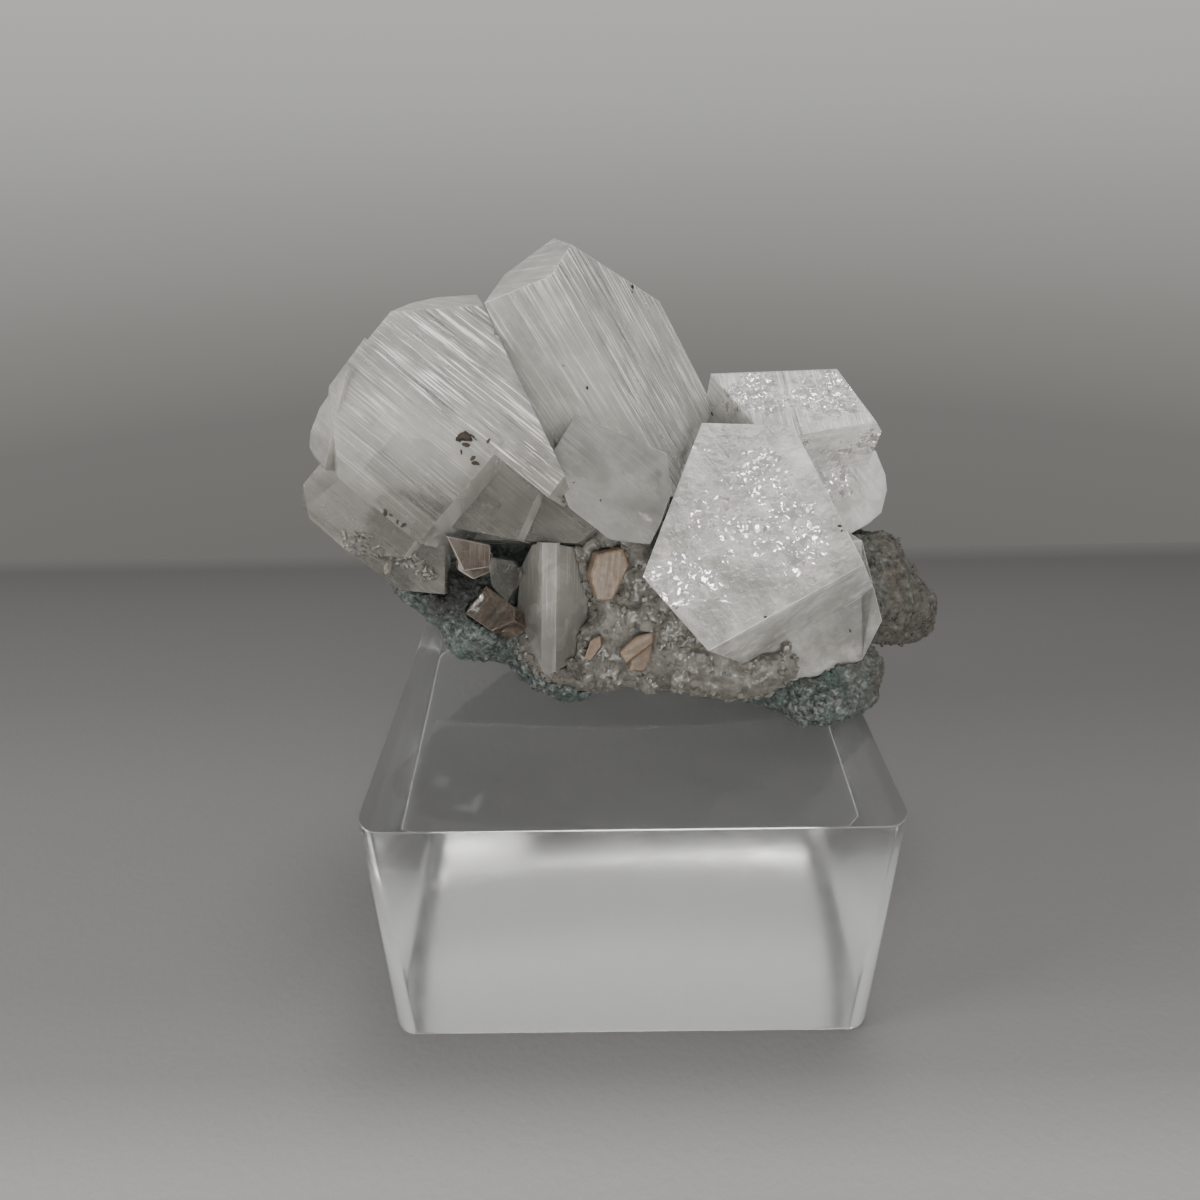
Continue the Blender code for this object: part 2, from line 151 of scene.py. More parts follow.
class Nodes:
    """Builder for any node tree."""

    def __init__(self, tree: bpy.types.NodeTree) -> None:
        """Keep the tree."""
        self.tree = tree

    def node(self, kind: str, settings: dict[str, Any], inputs: dict[Any, Any],
             output: Any = 0) -> Value:
        """Add any node.

        Args:
            kind: the node's type.
            settings: attributes set first; stops sets a ramp's stops.
            inputs: socket names or numbers with numbers, colours or values.
            output: name or number of the socket to return.

        Returns:
            The chosen output.
        """
        made = self.tree.nodes.new(kind)
        for key, setting in settings.items():
            if key == "stops":
                self.set_stops(made.color_ramp, setting)
            else:
                setattr(made, key, setting)
        for key, given in inputs.items():
            self.feed(made.inputs[key], given)
        return Value(self, made.outputs[output])

    def feed(self, socket: bpy.types.NodeSocket, given: Any) -> None:
        """Link a value to a socket, or set the socket to a number or colour.

        Args:
            socket: an input.
            given: a value, number or colour.
        """
        if isinstance(given, Value):
            self.tree.links.new(given.socket, socket)
        else:
            socket.default_value = given

    @staticmethod
    def set_stops(ramp: bpy.types.ColorRamp, stops: Stops) -> None:
        """Give a colour ramp its stops: position and colour of each, in order.

        Args:
            ramp: the ramp.
            stops: its stops.
        """
        while len(ramp.elements) < len(stops):
            ramp.elements.new(1.0)
        for element, (position, colour) in zip(ramp.elements, stops):
            element.position = position
            element.color = (*colour, 1.0)

    def vector(self, operation: str, first: Value, inputs: dict[Any, Any],
               output: Any = 0) -> Value:
        """A Vector Math node on a value.

        Args:
            operation: its operation.
            first: first input.
            inputs: the other inputs.
            output: output to return.

        Returns:
            The result.
        """
        return self.node("ShaderNodeVectorMath", {"operation": operation},
                         {0: first, **inputs}, output)


class Graph(Nodes):
    """Builder for the node tree of one material, with places in mm."""

    def __init__(self, name: str) -> None:
        """Start an empty tree with an output.

        Args:
            name: the material's name.
        """
        self.material = bpy.data.materials.new(name)
        self.material.use_nodes = True
        super().__init__(self.material.node_tree)
        self.tree.nodes.clear()
        self.output = self.tree.nodes.new("ShaderNodeOutputMaterial")
        self.place = self.vector("SCALE", self.node("ShaderNodeTexCoord", {}, {}, "Object"),
                                 {"Scale": 1.0 / MM})

    def facing(self) -> Value:
        """The surface's own normal."""
        return self.node("ShaderNodeNewGeometry", {}, {}, "Normal")

    def growth(self) -> Value:
        """Place on a face, in mm across and along its growth lines."""
        return self.node("ShaderNodeUVMap", {"uv_map": GROWTH_MAP}, {})

    def mark(self, name: str) -> Value:
        """A number that the mesh carries."""
        return self.node("ShaderNodeAttribute", {"attribute_name": name}, {}, "Fac")

    def stretched(self, place: Value, factors: Triple) -> Value:
        """A place scaled differently on each axis."""
        return self.vector("MULTIPLY", place, {1: factors})

    def parts(self, place: Value) -> tuple[Value, Value, Value]:
        """The three coordinates of a place."""
        split = self.node("ShaderNodeSeparateXYZ", {}, {0: place}).socket.node
        return tuple(Value(self, socket) for socket in split.outputs)

    def wander(self, place: Value, scale: float, reach: float) -> Value:
        """A place shifted unevenly within a range.

        Args:
            place: the place, in mm.
            scale: swings to a mm.
            reach: width of that range, in mm.

        Returns:
            The shifted place.
        """
        swing = self.node("ShaderNodeTexNoise", {}, {"Vector": place, "Scale": scale,
                                                     "Detail": 3.0}, "Color")
        swing = self.vector("SUBTRACT", swing, {1: (0.5, 0.5, 0.5)})
        return self.vector("ADD", place, {1: self.vector("SCALE", swing, {"Scale": reach})})

    def streaks(self, uv: Value, across: float, along: float, detail: float,
                warp: float = 0.0) -> Value:
        """Noise drawn out along the growth lines, with its features to a mm each way."""
        return self.noise(self.stretched(uv, (across, along, 1.0)), 1.0, detail, 0.6, warp)

    def noise(self, place: Value, scale: float, detail: float = 4.0, rough: float = 0.55,
              warp: float = 0.0) -> Value:
        """Cloudy noise around 0.5, with scale features to a millimetre."""
        return self.node("ShaderNodeTexNoise", {}, {
            "Vector": place, "Scale": scale, "Detail": detail, "Roughness": rough,
            "Distortion": warp})

    def cells(self, place: Value, scale: float, feature: str = "F1",
              output: str = "Distance", metric: str = "EUCLIDEAN") -> Value:
        """Cell pattern with scale cells to a millimetre."""
        return self.node("ShaderNodeTexVoronoi", {"feature": feature, "distance": metric},
                         {"Vector": place, "Scale": scale}, output)

    def ramp(self, value: Value, *stops: tuple[float, Triple]) -> Value:
        """Colour of a value, read from stops."""
        return self.node("ShaderNodeValToRGB", {"stops": stops}, {0: value})

    def blend(self, factor: Any, first: Any, second: Any) -> Value:
        """Mix two colours.

        Args:
            factor: share of the second colour.
            first: a colour or value.
            second: a colour or value.

        Returns:
            The mixed colour.
        """
        colours = [(*colour, 1.0) if isinstance(colour, tuple) else colour
                   for colour in (first, second)]
        return self.node("ShaderNodeMix", {"data_type": "RGBA"},
                         {0: factor, 6: colours[0], 7: colours[1]}, 2)

    def bump(self, height: Value, distance: float, strength: float = 1.0) -> Value:
        """Surface normal of a height.

        Args:
            height: relief, where 1 stands distance high.
            distance: height of the relief in mm.
            strength: how much of it shows.

        Returns:
            The normal.
        """
        return self.node("ShaderNodeBump", {}, {
            "Height": height, "Distance": distance * MM, "Strength": strength})

    def principled(self, **inputs: Any) -> Value:
        """A Principled shader; underscores in names stand for spaces.

        Args:
            inputs: its inputs by name.

        Returns:
            The shader.
        """
        named = {key.replace("_", " "): given for key, given in inputs.items()}
        for key, given in named.items():
            if isinstance(given, tuple) and len(given) == 3 and "Radius" not in key:
                named[key] = (*given, 1.0)
        return self.node("ShaderNodeBsdfPrincipled", {}, named)

    def mix(self, factor: Any, first: Value, second: Value) -> Value:
        """Mix two shaders; factor is the share of the second."""
        return self.node("ShaderNodeMixShader", {}, {0: factor, 1: first, 2: second})

    def finish(self, surface: Value, absorb: tuple[Triple, float] | None = None
               ) -> bpy.types.Material:
        """Connect the surface, and the tint inside if there is one.

        Args:
            surface: the shader.
            absorb: colour and density in 1/m of a Volume Absorption.

        Returns:
            The material.
        """
        self.feed(self.output.inputs["Surface"], surface)
        if absorb is not None:
            colour, density = absorb
            inside = self.node("ShaderNodeVolumeAbsorption", {},
                               {"Color": (*colour, 1.0), "Density": density})
            self.feed(self.output.inputs["Volume"], inside)
        return self.material


# Finishes


@dataclass(frozen=True)
class ClearAcrylic:
    """Cast acrylic: a polished top, duller sides and a thin film of dust."""
    ior: float = 1.49
    top_roughness: float = 0.05
    side_roughness: float = 0.17
    film_share: float = 0.08

    def make(self) -> bpy.types.Material:
        """The material."""
        g = Graph("clear_acrylic")
        wipe = g.noise(g.stretched(g.place, (0.4, 0.1, 0.4)), 1.0, 5.0)
        level = g.parts(g.facing())[2].span(0.4, 0.8, self.side_roughness, self.top_roughness)
        rough = level * wipe.span(0.3, 0.7, 0.8, 1.2)
        dust = g.noise(g.place, 1.4, 3.0).span(0.72, 0.8, 0.4, 1.0)
        glass = g.principled(Base_Color=(1.0, 1.0, 1.0), Roughness=rough,
                             Transmission_Weight=1.0, IOR=self.ior)
        film = g.principled(Base_Color=(0.7, 0.7, 0.7), Roughness=0.6)
        return g.finish(g.mix(dust * self.film_share, glass, film), ((0.86, 0.92, 0.92), 3.0))


@dataclass(frozen=True)
class Patch:
    """A round region that a finish marks off, in mm."""
    centre: Triple
    radius: float

    def mask(self, g: Graph, place: Value) -> Value:
        """1 in the middle, falling to 0 at the rim.

        Args:
            g: the material's builder.
            place: the place, in mm.

        Returns:
            The share.
        """
        away = g.vector("DISTANCE", place, {1: self.centre}, "Value")
        return away.span(self.radius * 0.25, self.radius * 1.05, 1.0, 0.0)


@dataclass(frozen=True)
class Apophyllite:
    """Clear to milky crystal with growth lines, veils, inner cracks and specks.

    milk: least and greatest share of milkiness.
    tint: colour of the milky part.
    absorb: colour and density of the absorption inside.
    lines: strength of the fine growth lines.
    rough: least and greatest roughness of the clear part.
    clearing: heights between which the crystal turns from clear to milky, in mm.
    clear_share: how much of the milkiness is left where it is clearest.
    warm: colour of the haze in the clear part.
    cracks: regions with bright broken grains inside.
    windows: regions that are clearer than the rest.
    window_share: how much of the milkiness a window takes away.
    grain: height of the frosted relief of the surface, in mm.
    rims: painted highlight, how much brighter the softened edges are painted.
    sectors: how much the milkiness steps between growth sectors.
    clouds: how strongly cloudy veils darken and lighten the inside.
    ragged: how far the cracked regions stray from their round shape, in mm.
    underside_shade: painted shade, how much darker the faces that look down are painted.
    bright: colour of the painted sheen on the growth lines and of the painted highlight on the
    softened edges.
    shade: colour of the dark growth lines and of the dark clouds.
    """
    name: str
    milk: Pair = (0.36, 0.56)
    tint: Triple = (0.74, 0.75, 0.72)
    absorb: tuple[Triple, float] = ((0.86, 0.9, 0.86), 8.0)
    lines: float = 1.0
    rough: Pair = (0.1, 0.3)
    clearing: Pair = (0.0, 1.0)
    clear_share: float = 1.0
    warm: Triple = (0.6, 0.56, 0.5)
    cracks: tuple[Patch, ...] = ()
    windows: tuple[Patch, ...] = ()
    window_share: float = 0.4
    grain: float = 0.0
    rims: float = 0.3
    sectors: float = 0.12
    clouds: float = 0.15
    ragged: float = 1.2
    underside_shade: float = 0.0
    bright: Triple = (0.98, 0.97, 0.94)
    shade: Triple = (0.4, 0.4, 0.38)
    ior: float = 1.535

    def broken(self, g: Graph) -> tuple[Value, Value, Value, Value]:
        """Bright grains inside the cracked regions.

        Args:
            g: the material's builder.

        Returns:
            Share of the grains, share of the haze round them, their colour and their
            tilted normal.
        """
        region: Value | None = None
        drifting = g.wander(g.place, 0.3, self.ragged * 7.0)
        for patch in self.cracks:
            mask = patch.mask(g, drifting)
            region = mask if region is None else region.math("MAXIMUM", mask)
        clouds = g.noise(g.place, 0.6, 4.0, 0.65).span(0.4, 0.56, 0.45, 1.3)
        inside = (region * region * clouds * 1.2).clamp()
        shaken = g.wander(g.place, 1.1, 1.6)
        large, small = (g.cells(shaken, scale, "F1", "Color") for scale in (1.3, 3.4))
        coarse = (g.parts(large)[0] + inside * 0.75).span(1.12, 1.2)
        fine = (g.parts(small)[0] + inside * 0.8).span(1.08, 1.16)
        colour = g.blend(g.parts(large)[1].span(0.2, 0.6), (0.6, 0.6, 0.58), (0.98, 0.97, 0.95))
        colour = g.blend(0.12, colour, small)
        turned = g.vector("SUBTRACT", g.blend(0.5, large, small), {1: (0.5, 0.5, 0.5)})
        tilted = g.vector("ADD", g.facing(), {1: g.vector("SCALE", turned, {"Scale": 1.8})})
        tilted = g.vector("NORMALIZE", tilted, {})
        return coarse.math("MAXIMUM", fine), inside, colour, tilted

    def make(self) -> bpy.types.Material:
        """The material."""
        g = Graph(self.name)
        # rim marks the softened edges, which get a painted highlight: their milk and tint are
        # lightened.
        strength, rim, uv = g.mark(LINES_MARK), g.mark(RIM_MARK) * self.rims, g.growth()
        fine, middle = g.streaks(uv, 4.2, 0.1, 3.0), g.streaks(uv, 1.7, 0.06, 4.0)
        broad = g.noise(g.stretched(uv, (0.5, 0.03, 1.0)), 1.0, 2.0, 0.5)
        patches = g.noise(g.place, 0.16, 2.0, 0.5).span(0.36, 0.6, 0.4, 1.0)
        upper = g.parts(g.place)[2].span(*self.clearing)
        drawn = strength * patches * (upper * 0.7 + 0.3) * self.lines
        waves = g.noise(g.place, 0.3, 2.0, 0.5, 0.3)
        streaks = fine * 0.45 + middle * 0.4 + broad * 0.15
        height = (streaks - 0.5) * drawn * 1.2 + (waves - 0.5) * 0.3
        height = height + g.noise(g.place, 1.1, 4.0, 0.6) * self.grain

        veil = g.noise(g.place, 0.12, 3.0, 0.5, 0.4)
        wisps = g.streaks(uv, 0.5, 0.16, 4.0, 0.5)
        blocks = g.cells(g.stretched(uv, (1.0, 0.55, 1.0)), 0.2, "F1", "Color", "CHEBYCHEV")
        sector = g.parts(blocks)[0] - 0.5
        milk = (veil * 0.6 + wisps * 0.4).span(0.36, 0.64, *self.milk) + sector * self.sectors
        milk = milk * (upper * (1.0 - self.clear_share) + self.clear_share)
        for window in self.windows:
            mask = window.mask(g, g.wander(g.place, 0.3, 5.0))
            milk = milk * (1.0 - mask * self.window_share)
        # The growth lines are real, and their brightness is painted sheen: they lighten the milk
        # and turn the tint towards the bright colour.
        growth_lines_and_sheen = (fine * 0.7 + middle * 0.3).span(0.52, 0.59) * drawn
        dark = (fine * 0.3 + middle * 0.7).span(0.46, 0.36) * drawn
        # Painted shade: faces that look down are painted darker and milkier.
        under = g.parts(g.facing())[2].span(-0.05, -0.25) * self.underside_shade
        milk = (milk + growth_lines_and_sheen * 0.55 - dark * 0.2 + rim + under * 0.5).clamp()
        tint = g.blend((growth_lines_and_sheen + rim).clamp(), self.tint, self.bright)
        tint = g.blend(dark * 0.4, tint, self.shade)
        tint = g.blend(1.0 - upper, tint, self.warm)
        steps = (sector + 0.5).span(0.35, 0.9) * (1.3 - upper) * self.sectors * 2.0
        tint = g.blend(steps.clamp(), tint, (0.36, 0.35, 0.32))
        # Colour of the painted shade on the faces that look down.
        tint = g.blend(under, tint, (0.26, 0.25, 0.225))
        clouds = g.noise(g.wander(g.place, 0.4, 5.0), 0.34, 6.0, 0.6)
        tint = g.blend(clouds.span(0.56, 0.36) * self.clouds, tint, self.shade)
        tint = g.blend(clouds.span(0.5, 0.66) * self.clouds, tint, (0.97, 0.96, 0.94))
        speck = g.noise(g.place, 1.9, 2.0, 0.4).span(0.74, 0.78)
        tint = g.blend(speck * 0.3, tint, (0.22, 0.16, 0.1))
        normal = g.bump(height, 0.36, 0.8)
        clear = g.principled(Base_Color=(0.96, 0.98, 0.96), IOR=self.ior,
                             Roughness=wisps.span(0.35, 0.7, *self.rough),
                             Transmission_Weight=1.0, Normal=normal)
        milky = g.principled(Base_Color=tint, Roughness=0.2, IOR=self.ior,
                             Subsurface_Weight=0.8, Subsurface_Radius=(1.0, 1.0, 0.96),
                             Subsurface_Scale=1.6 * MM, Normal=normal)
        if not self.cracks:
            return g.finish(g.mix(milk, clear, milky), self.absorb)
        grains, haze, colour, tilted = self.broken(g)
        milk = (milk + haze * 0.2).clamp()
        pearly = g.principled(Base_Color=colour, Metallic=0.7, Roughness=0.17, Normal=tilted)
        return g.finish(g.mix(grains * 0.85, g.mix(milk, clear, milky), pearly), self.absorb)


@dataclass(frozen=True)
class MatrixRock:
    """Altered basalt: dark grains, green celadonite, brown patches, pale salts.

    painted_hollow_shade: painted shade, a near-black patch where the rock lies in the hollow
    between the small crystals at the left.
    """
    painted_hollow_shade: Patch = Patch((-17.4, -5.8, 42.8), 4.6)

    def make(self) -> bpy.types.Material:
        """The material."""
        g = Graph("matrix_rock")
        grain = g.noise(g.place, 1.8, 7.0, 0.65)
        patch = g.noise(g.place, 0.24, 4.0, 0.6, 0.8)
        colour = g.ramp(grain, (0.34, (0.015, 0.018, 0.017)), (0.47, (0.055, 0.066, 0.062)),
                        (0.58, (0.13, 0.15, 0.14)), (0.7, (0.3, 0.33, 0.31)))
        green = g.ramp(g.noise(g.place, 2.6, 5.0), (0.35, (0.03, 0.048, 0.043)),
                       (0.7, (0.12, 0.165, 0.15)))
        colour = g.blend(patch.span(0.44, 0.62) * 0.7, colour, green)
        right = g.parts(g.place)[0].span(20.0, 30.0)
        brown = g.ramp(g.noise(g.place, 1.2, 6.0), (0.3, (0.03, 0.027, 0.023)),
                       (0.7, (0.14, 0.125, 0.105)))
        rust = (g.noise(g.place, 0.4, 4.0).span(0.54, 0.7) * 0.6 + right * 0.8).clamp()
        colour = g.blend(rust, colour, brown)
        pale = g.cells(g.place, 0.9, "SMOOTH_F1").span(0.12, 0.3, 1.0, 0.0)
        colour = g.blend(pale * 0.3, colour, (0.26, 0.27, 0.25))
        # Painted shade: the rock in the hollow between the small crystals is painted near black.
        colour = g.blend(self.painted_hollow_shade.mask(g, g.place) * 0.95, colour, (0.006, 0.006, 0.005))
        height = grain * 0.7 + g.cells(g.place, 2.4) * 0.6
        surface = g.principled(Base_Color=colour, Roughness=grain.span(0.3, 0.7, 0.95, 0.5),
                               Normal=g.bump(height, 0.25, 0.9))
        return g.finish(surface)


@dataclass(frozen=True)
class DrusySkin:
    """Tiny glassy crystals over brown-grey matter."""
    clear: Pair = (0.15, 0.5)

    def make(self) -> bpy.types.Material:
        """The material."""
        g = Graph("drusy_skin")
        patch = g.noise(g.place, 0.45, 5.0, 0.6, 0.5)
        body = g.ramp(patch, (0.32, (0.17, 0.16, 0.135)), (0.5, (0.24, 0.23, 0.205)),
                      (0.7, (0.32, 0.315, 0.29)))
        normal = g.bump(g.cells(g.place, 2.0) * 0.6 + g.noise(g.place, 3.0) * 0.4, 0.2, 0.6)
        clear = g.principled(Base_Color=(0.92, 0.92, 0.88), Roughness=0.12, IOR=1.53,
                             Transmission_Weight=1.0, Normal=normal)
        solid = g.principled(Base_Color=body, Roughness=0.3, Normal=normal,
                             Subsurface_Weight=0.6, Subsurface_Radius=(1.0, 0.85, 0.7),
                             Subsurface_Scale=1.0 * MM)
        share = g.noise(g.place, 0.9, 4.0).span(0.35, 0.65, *self.clear)
        return g.finish(g.mix(share, solid, clear), ((0.78, 0.74, 0.66), 70.0))


@dataclass(frozen=True)
class Stilbite:
    """Pearly peach blades, ribbed along their length."""
    pale: Triple = (0.225, 0.168, 0.12)
    deep: Triple = (0.14, 0.096, 0.064)

    def make(self) -> bpy.types.Material:
        """The material."""
        g = Graph("stilbite")
        ribs = g.streaks(g.growth(), 6.0, 0.35, 5.0)
        cloud = g.noise(g.place, 1.1, 4.0)
        colour = g.blend((ribs * 0.4 + cloud * 0.6).span(0.36, 0.64), self.deep, self.pale)
        colour = g.blend(g.noise(g.place, 3.0, 3.0).span(0.62, 0.7) * 0.5, colour,
                         (0.36, 0.29, 0.22))
        surface = g.principled(Base_Color=colour, Roughness=0.45, Coat_Weight=0.08,
                               Coat_Roughness=0.2, Subsurface_Weight=0.5,
                               Subsurface_Radius=(1.0, 0.7, 0.45),
                               Subsurface_Scale=0.8 * MM,
                               Normal=g.bump(ribs, 0.06, 0.4))
        return g.finish(surface)


@dataclass(frozen=True)
class FloorPlaster:
    """Plain matt floor with painted shade, lighter at the front and darker towards its back
    edge.

    start, end: places in Y of the first and the last shade, in mm.
    shades: share of the way there and colour of each shade.
    grain: strength of the fine relief.
    """
    end: float
    start: float = -70.0
    shades: Stops = (
        (0.0, (0.46, 0.46, 0.455)), (0.19, (0.38, 0.38, 0.377)), (0.25, (0.25, 0.25, 0.248)),
        (0.31, (0.215, 0.215, 0.214)), (0.5, (0.19, 0.19, 0.189)), (0.66, (0.15, 0.15, 0.149)),
        (0.86, (0.12, 0.12, 0.119)), (0.955, (0.1, 0.1, 0.099)), (1.0, (0.145, 0.143, 0.14)))
    roughness: float = 0.6
    grain: float = 0.35

    def make(self) -> bpy.types.Material:
        """The material."""
        g = Graph("floor_plaster")
        # Painted shade: the floor's colour darkens along the way from the front to its back
        # edge.
        share = ((g.parts(g.place)[1] - self.start) / (self.end - self.start)).clamp()
        normal = g.bump(g.noise(g.place, 1.3, 4.0, 0.6), 0.2, self.grain)
        return g.finish(g.principled(Base_Color=g.ramp(share, *self.shades), Normal=normal,
                                     Roughness=self.roughness, Specular_IOR_Level=0.15))


# Mesh helpers


def direction(facing: Pair) -> Vector:
    """Unit vector that looks to an azimuth and an elevation.

    Args:
        facing: azimuth, where 0 is the front, and elevation, in degrees.

    Returns:
        The vector.
    """
    azimuth, elevation = (math.radians(angle) for angle in facing)
    return Vector((math.sin(azimuth) * math.cos(elevation),
                   -math.cos(azimuth) * math.cos(elevation), math.sin(elevation)))


def in_face(facing: Pair, angle: float) -> Vector:
    """Direction in a face, turned by an angle from the face's level line.

    Args:
        facing: azimuth and elevation of the face, in degrees.
        angle: turn in the face, in degrees.

    Returns:
        A unit vector.
    """
    azimuth = math.radians(facing[0])
    right = Vector((math.cos(azimuth), math.sin(azimuth), 0.0))
    up = direction(facing).cross(right)
    turn = math.radians(angle)
    return right * math.cos(turn) + up * math.sin(turn)


def linked(name: str, data: bpy.types.ID) -> bpy.types.Object:
    """New object in the scene.

    Args:
        name: its name.
        data: what it shows.

    Returns:
        The object.
    """
    made = bpy.data.objects.new(name, data)
    bpy.context.scene.collection.objects.link(made)
    return made


def add_object(name: str, bm: bmesh.types.BMesh) -> bpy.types.Object:
    """Make an object of a bmesh and free it.

    Args:
        name: name of the object and its mesh.
        bm: the shape, in metres.

    Returns:
        The linked object.
    """
    mesh = bpy.data.meshes.new(name)
    bm.to_mesh(mesh)
    bm.free()
    return linked(name, mesh)


def apply_modifiers(obj: bpy.types.Object) -> None:
    """Put the evaluated mesh in place of the object's own.

    Args:
        obj: the object.
    """
    bpy.context.view_layer.update()
    graph = bpy.context.evaluated_depsgraph_get()
    mesh = bpy.data.meshes.new_from_object(obj.evaluated_get(graph))
    obj.modifiers.clear()
    obj.data = mesh


def opened(mesh: bpy.types.Mesh) -> bmesh.types.BMesh:
    """Editable copy of a mesh.

    Args:
        mesh: the mesh.

    Returns:
        The copy.
    """
    bm = bmesh.new()
    bm.from_mesh(mesh)
    return bm


def node_bmesh(node: str) -> bmesh.types.BMesh:
    """Merged copy of a CAD node's mesh.

    Args:
        node: the node's name.

    Returns:
        The copy.
    """
    bm = opened(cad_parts[node].data)
    bmesh.ops.remove_doubles(bm, verts=bm.verts[:], dist=MERGE)
    return bm


def smooth(obj: bpy.types.Object, angle: float) -> None:
    """Shade the object smooth, apart from edges over an angle in degrees.

    Args:
        obj: the object.
        angle: least turn of an edge that stays sharp.
    """
    obj.data.shade_smooth()
    obj.data.set_sharp_from_angle(angle=math.radians(angle))


def dress(obj: bpy.types.Object, material: bpy.types.Material,
          nodes: Iterable[str] = ()) -> None:
    """Give a piece its finish and body, and hide the nodes it stands for.

    Args:
        obj: the piece.
        material: its finish.
        nodes: CAD nodes that it replaces.
    """
    obj.data.materials.clear()
    obj.data.materials.append(material)
    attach(obj, BODY)
    for node in nodes:
        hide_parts(node)
    log.info("%s: %d faces", obj.name, len(obj.data.polygons))


def remeshed(name: str, bm: bmesh.types.BMesh, voxel: float) -> bpy.types.Object:
    """Even closed skin of a shape.

    Args:
        name: name of the object.
        bm: the shape, in metres.
        voxel: size of the grid, in mm.

    Returns:
        The object.
    """
    obj = add_object(name, bm)
    modifier = obj.modifiers.new("Remesh", "REMESH")
    modifier.mode = "VOXEL"
    modifier.voxel_size = voxel * MM
    apply_modifiers(obj)
    return obj


# Scattered grains


@dataclass(frozen=True)
class Scatter:
    """Small crystals or grains on a surface, by Geometry Nodes.

    density: grains to a square millimetre.
    size: smallest and largest grain, in mm.
    """
    grain: Grain
    density: float
    size: Pair
    seed: int

    def one(self, tree: Nodes) -> Value:
        """The shape that is repeated, 1 m across.

        Args:
            tree: builder of the tree.

        Returns:
            The shape's mesh.
        """
        if self.grain is Grain.BLOCK:
            return tree.node("GeometryNodeMeshCube", {}, {})
        return tree.node("GeometryNodeMeshIcoSphere", {}, {"Radius": 0.5, "Subdivisions": 1})

    def tree(self) -> bpy.types.GeometryNodeTree:
        """The node tree, with its sizes as named inputs."""
        made = bpy.data.node_groups.new(f"scatter_{self.grain.value}", "GeometryNodeTree")
        for name, kind in (("Geometry", "Geometry"), ("Density", "Float"),
                           ("Smallest", "Float"), ("Largest", "Float"), ("Seed", "Int"),
                           ("Material", "Material")):
            made.interface.new_socket(name=name, in_out="INPUT", socket_type=f"NodeSocket{kind}")
        made.interface.new_socket(name="Geometry", in_out="OUTPUT",
                                  socket_type="NodeSocketGeometry")
        tree, result = Nodes(made), made.nodes.new("NodeGroupOutput")
        group = made.nodes.new("NodeGroupInput")
        given = {socket.name: Value(tree, socket) for socket in group.outputs}
        cover = tree.node("GeometryNodeInputNamedAttribute", {"data_type": "FLOAT"},
                          {"Name": COVER_MARK}, "Attribute")
        points = tree.node("GeometryNodeDistributePointsOnFaces", {}, {
            "Mesh": given["Geometry"], "Density": given["Density"] * cover,
            "Seed": given["Seed"]})
        size = tree.node("FunctionNodeRandomValue", {"data_type": "FLOAT"}, {
            2: given["Smallest"], 3: given["Largest"], "Seed": given["Seed"]}, 1)
        stretch, turn = (
            tree.node("FunctionNodeRandomValue", {"data_type": "FLOAT_VECTOR"},
                      {0: (least,) * 3, 1: (most,) * 3})
            for least, most in ((0.7, 1.2), (-math.pi, math.pi)))
        stand = tree.node("GeometryNodeInstanceOnPoints", {}, {
            "Points": points, "Instance": self.one(tree), "Rotation": turn,
            "Scale": tree.vector("SCALE", stretch, {"Scale": size})})
        real = tree.node("GeometryNodeRealizeInstances", {}, {0: stand})
        tree.feed(result.inputs[0], tree.node("GeometryNodeSetMaterial", {}, {
            "Geometry": real, "Material": given["Material"]}))
        return made

    def grow(self, name: str, base: bpy.types.Mesh,
             material: bpy.types.Material) -> bpy.types.Object:
        """Set the grains on a mesh that carries a cover attribute.

        Args:
            name: name of the new piece.
            base: surface that they stand on.
            material: their finish.

        Returns:
            A plain mesh object of all grains.
        """
        obj = linked(name, base.copy())
        modifier = obj.modifiers.new("Scatter", "NODES")
        modifier.node_group = self.tree()
        values = {"Density": self.density / MM ** 2, "Smallest": self.size[0] * MM,
                  "Largest": self.size[1] * MM, "Seed": self.seed, "Material": material}
        for item in modifier.node_group.interface.items_tree:
            if item.in_out == "INPUT" and item.name in values:
                modifier[item.identifier] = values[item.name]
        apply_modifiers(obj)
        return obj


# Crystals

# How strongly the growth lines are drawn on faces without growth steps, and the
# cosines that tell a face's kind by its turn from the long axis
PLAIN_LINES = {Facet.PRISM: 0.35, Facet.PYRAMID: 0.15, Facet.END: 0.2}
PRISM_MOST, END_LEAST = 0.3, 0.9

# Faces within this cosine look the same way, and edges over this turn are softened
SAME_WAY = 0.998
SHARP_TURN = math.radians(12.0)


